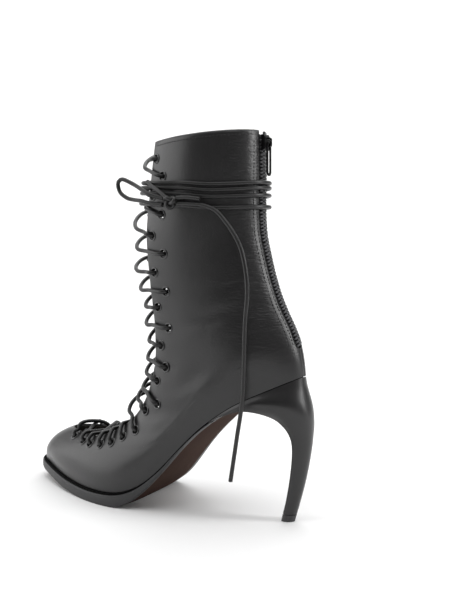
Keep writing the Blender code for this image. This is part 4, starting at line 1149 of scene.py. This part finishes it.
def add_cord(name, paths, solid):
    """Round cord along one or more paths, as a curve with a bevel."""
    curve = bpy.data.curves.new(name, "CURVE")
    curve.dimensions = "3D"
    curve.bevel_depth = CORD_RADIUS * MM
    curve.bevel_resolution = 3
    curve.use_fill_caps = True
    for path in paths:
        spline = curve.splines.new("POLY")
        spline.points.add(len(path) - 1)
        for point, p in zip(spline.points, path):
            point.co = (*metres(p), 1.0)
        spline.use_smooth = True
    curve.materials.append(round_cord)
    obj = link_new(name, curve)
    join_frame(obj, [solid])
    print(name, sum(len(path) for path in paths), "points")
    return obj


lace_paths = []
for first_side in (1, -1):
    route = []
    for number in range(len(EYELETS) - 1):
        route += strand(number, first_side if number % 2 == 0 else -first_side)
    last_side = first_side if len(EYELETS) % 2 else -first_side
    p, along, up, n = eyelet_frames[last_side, len(EYELETS) - 1]
    route += [p + height * n + way * along for height, way in TOP_EXIT]
    lace_paths.append(smooth_path(route, LACE_STEP))
add_cord("laced_cord", lace_paths, "lace_crossings")

# %% [markdown]
# ## Throat tab
# The corner of a small leather tab shows at the front end of the throat, between the first two strands. It
# is a thin cut piece, so a plate with a softened outline is enough.

# %% Tab
TAB = [
    (192.6, 38.0), (194.4, 41.4), (193.8, 43.4), (187.2, 47.6), (185.4, 47.4), (182.2, 43.4), (181.4, 39.0),
]
TAB_Y = (8.4, 9.8)
TAB_ROUND = 0.35
points, faces = loft_loops([[(x, y, z) for x, z in TAB] for y in TAB_Y])
tab = add_piece("throat_tab", points, faces, [calf], [])
rounding = tab.modifiers.new("soft edges", "BEVEL")
rounding.width = TAB_ROUND * MM
rounding.segments = 3

# %% [markdown]
# ## Turns round the shaft
# The spare cord is wound four times round the shaft below the collar, three turns close together and one
# lower. The turns stand off the leather where they pass over the eyelets and over the zip's teeth.

# %% Wound cord
# turns from the start, height
WRAP = [
    (0.0, 241.4), (0.2, 240.6), (0.455, 239.4), (0.533, 237.8), (0.7, 239.6), (0.95, 238.8), (1.2, 237.2),
    (1.455, 235.8), (1.533, 233.8), (1.7, 236.0), (1.95, 235.2), (2.2, 233.8), (2.455, 231.6), (2.533, 229.4),
    (2.7, 230.8), (2.95, 229.8), (3.2, 227.6), (3.455, 223.8), (3.533, 221.8), (3.7, 222.6), (3.95, 222.4),
    (4.04, 222.6),
]
WRAP_POINTS = 180
WRAP_START = 0.80
WRAP_EDGE = 0.155
WRAP_BULGE = 2.0
WRAP_POWER = 4
# share of a turn from the front, distance of the cord's middle from the leather
WRAP_LIFT = [(0.155, 7.0), (0.2, 6.6), (0.25, 2.4), (0.28, 1.9), (0.42, 1.9), (0.47, 2.9), (0.5, 3.1)]
# from the top turn at the front edge down to the knot
LEAD = [
    (106.3, 37.0, 240.7), (102.7, 38.5, 238.0), (96.2, 40.5, 234.6), (90.1, 41.5, 230.6), (85.0, 41.8, 227.4),
]
CORD_STEP = 2.0
SHAFT_LEVEL = 8.0
HEIGHT_HALVINGS = 22


def around(angle, z):
    """Point round the shaft at a height: angle 0 at the front, half a turn at the back, outer side first."""
    angle = angle % 1.0
    side = 1 if angle < 0.5 else -1
    s = angle if angle < 0.5 else 1.0 - angle
    at = max(s, WRAP_EDGE)
    c = (1.0 - math.cos(2.0 * math.pi * at)) / 2.0
    level = halve(SHAFT_LEVEL, TOP_LEVEL, HEIGHT_HALVINGS, lambda v: upper_point(side, v, c)[2] < z)
    p, along, up, n = upper_frame(side, level, c)
    p = p + float(smooth(WRAP_LIFT, at)) * n
    share = s / at
    return np.array((p[0] + WRAP_BULGE * (1.0 - share ** WRAP_POWER), p[1] * share, z))


wound = [around(WRAP_START + turn, float(smooth(WRAP, turn)))
         for turn in np.linspace(0.0, WRAP[-1][0], WRAP_POINTS)]
add_cord("wound_cord", [smooth_path(wound, CORD_STEP), smooth_path(LEAD, CORD_STEP)], "lace_wraps")

# %% [markdown]
# ## Bow
# The cord is tied in a half bow on the outer front: one loop, a knot, a short end and one long end that
# hangs down the side almost to the floor. The knot is a small closed curve that winds through itself. The
# loop and the long end are free cords.

# %% Knot, loop and ends
KNOT_PLACE = np.array((85.0, 41.0, 225.8))
KNOT_HALF = (4.6, 2.0, 3.9)
BOW_LOOP = [
    (90.0, 41.4, 228.4), (101.4, 42.4, 231.4), (106.0, 42.0, 233.7), (114.3, 40.2, 237.9),
    (123.8, 40.2, 242.2), (127.2, 40.2, 242.6), (129.8, 40.2, 240.0), (128.0, 40.2, 233.6),
    (121.9, 40.2, 229.3), (116.0, 40.2, 227.9), (108.9, 41.6, 227.0), (101.6, 42.0, 225.2),
    (90.9, 41.4, 223.8),
]
END_LONG = [
    (79.7, 40.0, 224.4), (71.0, 39.0, 224.2), (60.4, 37.8, 223.2), (50.5, 36.8, 219.3),
    (42.4, 36.5, 211.0), (37.2, 36.5, 204.3), (31.6, 36.5, 194.4), (27.8, 36.5, 179.5),
    (26.6, 36.5, 164.3), (28.2, 36.5, 143.4), (28.9, 36.5, 115.5), (30.0, 36.5, 91.5),
    (34.2, 36.5, 65.0), (39.2, 36.5, 33.8),
]
END_SHORT = [(79.9, 40.4, 228.6), (71.0, 39.6, 228.6), (62.0, 38.6, 227.4)]
END_STEP = 3.0
KNOT_POINTS = 90
KNOT_DEEP = 1.6
turns = np.linspace(0.0, 2.0 * math.pi, KNOT_POINTS)
trefoil = np.stack([np.sin(turns) + 2.0 * np.sin(2.0 * turns), -np.sin(3.0 * turns) * KNOT_DEEP,
                    np.cos(turns) - 2.0 * np.cos(2.0 * turns)], -1) / 3.0
loop_path = smooth_path(BOW_LOOP, CORD_STEP)
long_path = smooth_path(END_LONG, END_STEP)
knot = add_cord("bow_knot", [KNOT_PLACE + trefoil * KNOT_HALF], "lace_knot")
loop = add_cord("bow_loop", [loop_path], "lace_bow_loop")
long_end = add_cord("bow_long_end", [long_path], "lace_end_long")
short_end = add_cord("bow_short_end", [smooth_path(END_SHORT, CORD_STEP)], "lace_end_short")

# %% [markdown]
# ## Size at the end
# The dressed boot must stay the size of the imported one, so the box round its shown pieces is measured.

# %% Box of the dressed boot
low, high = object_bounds()
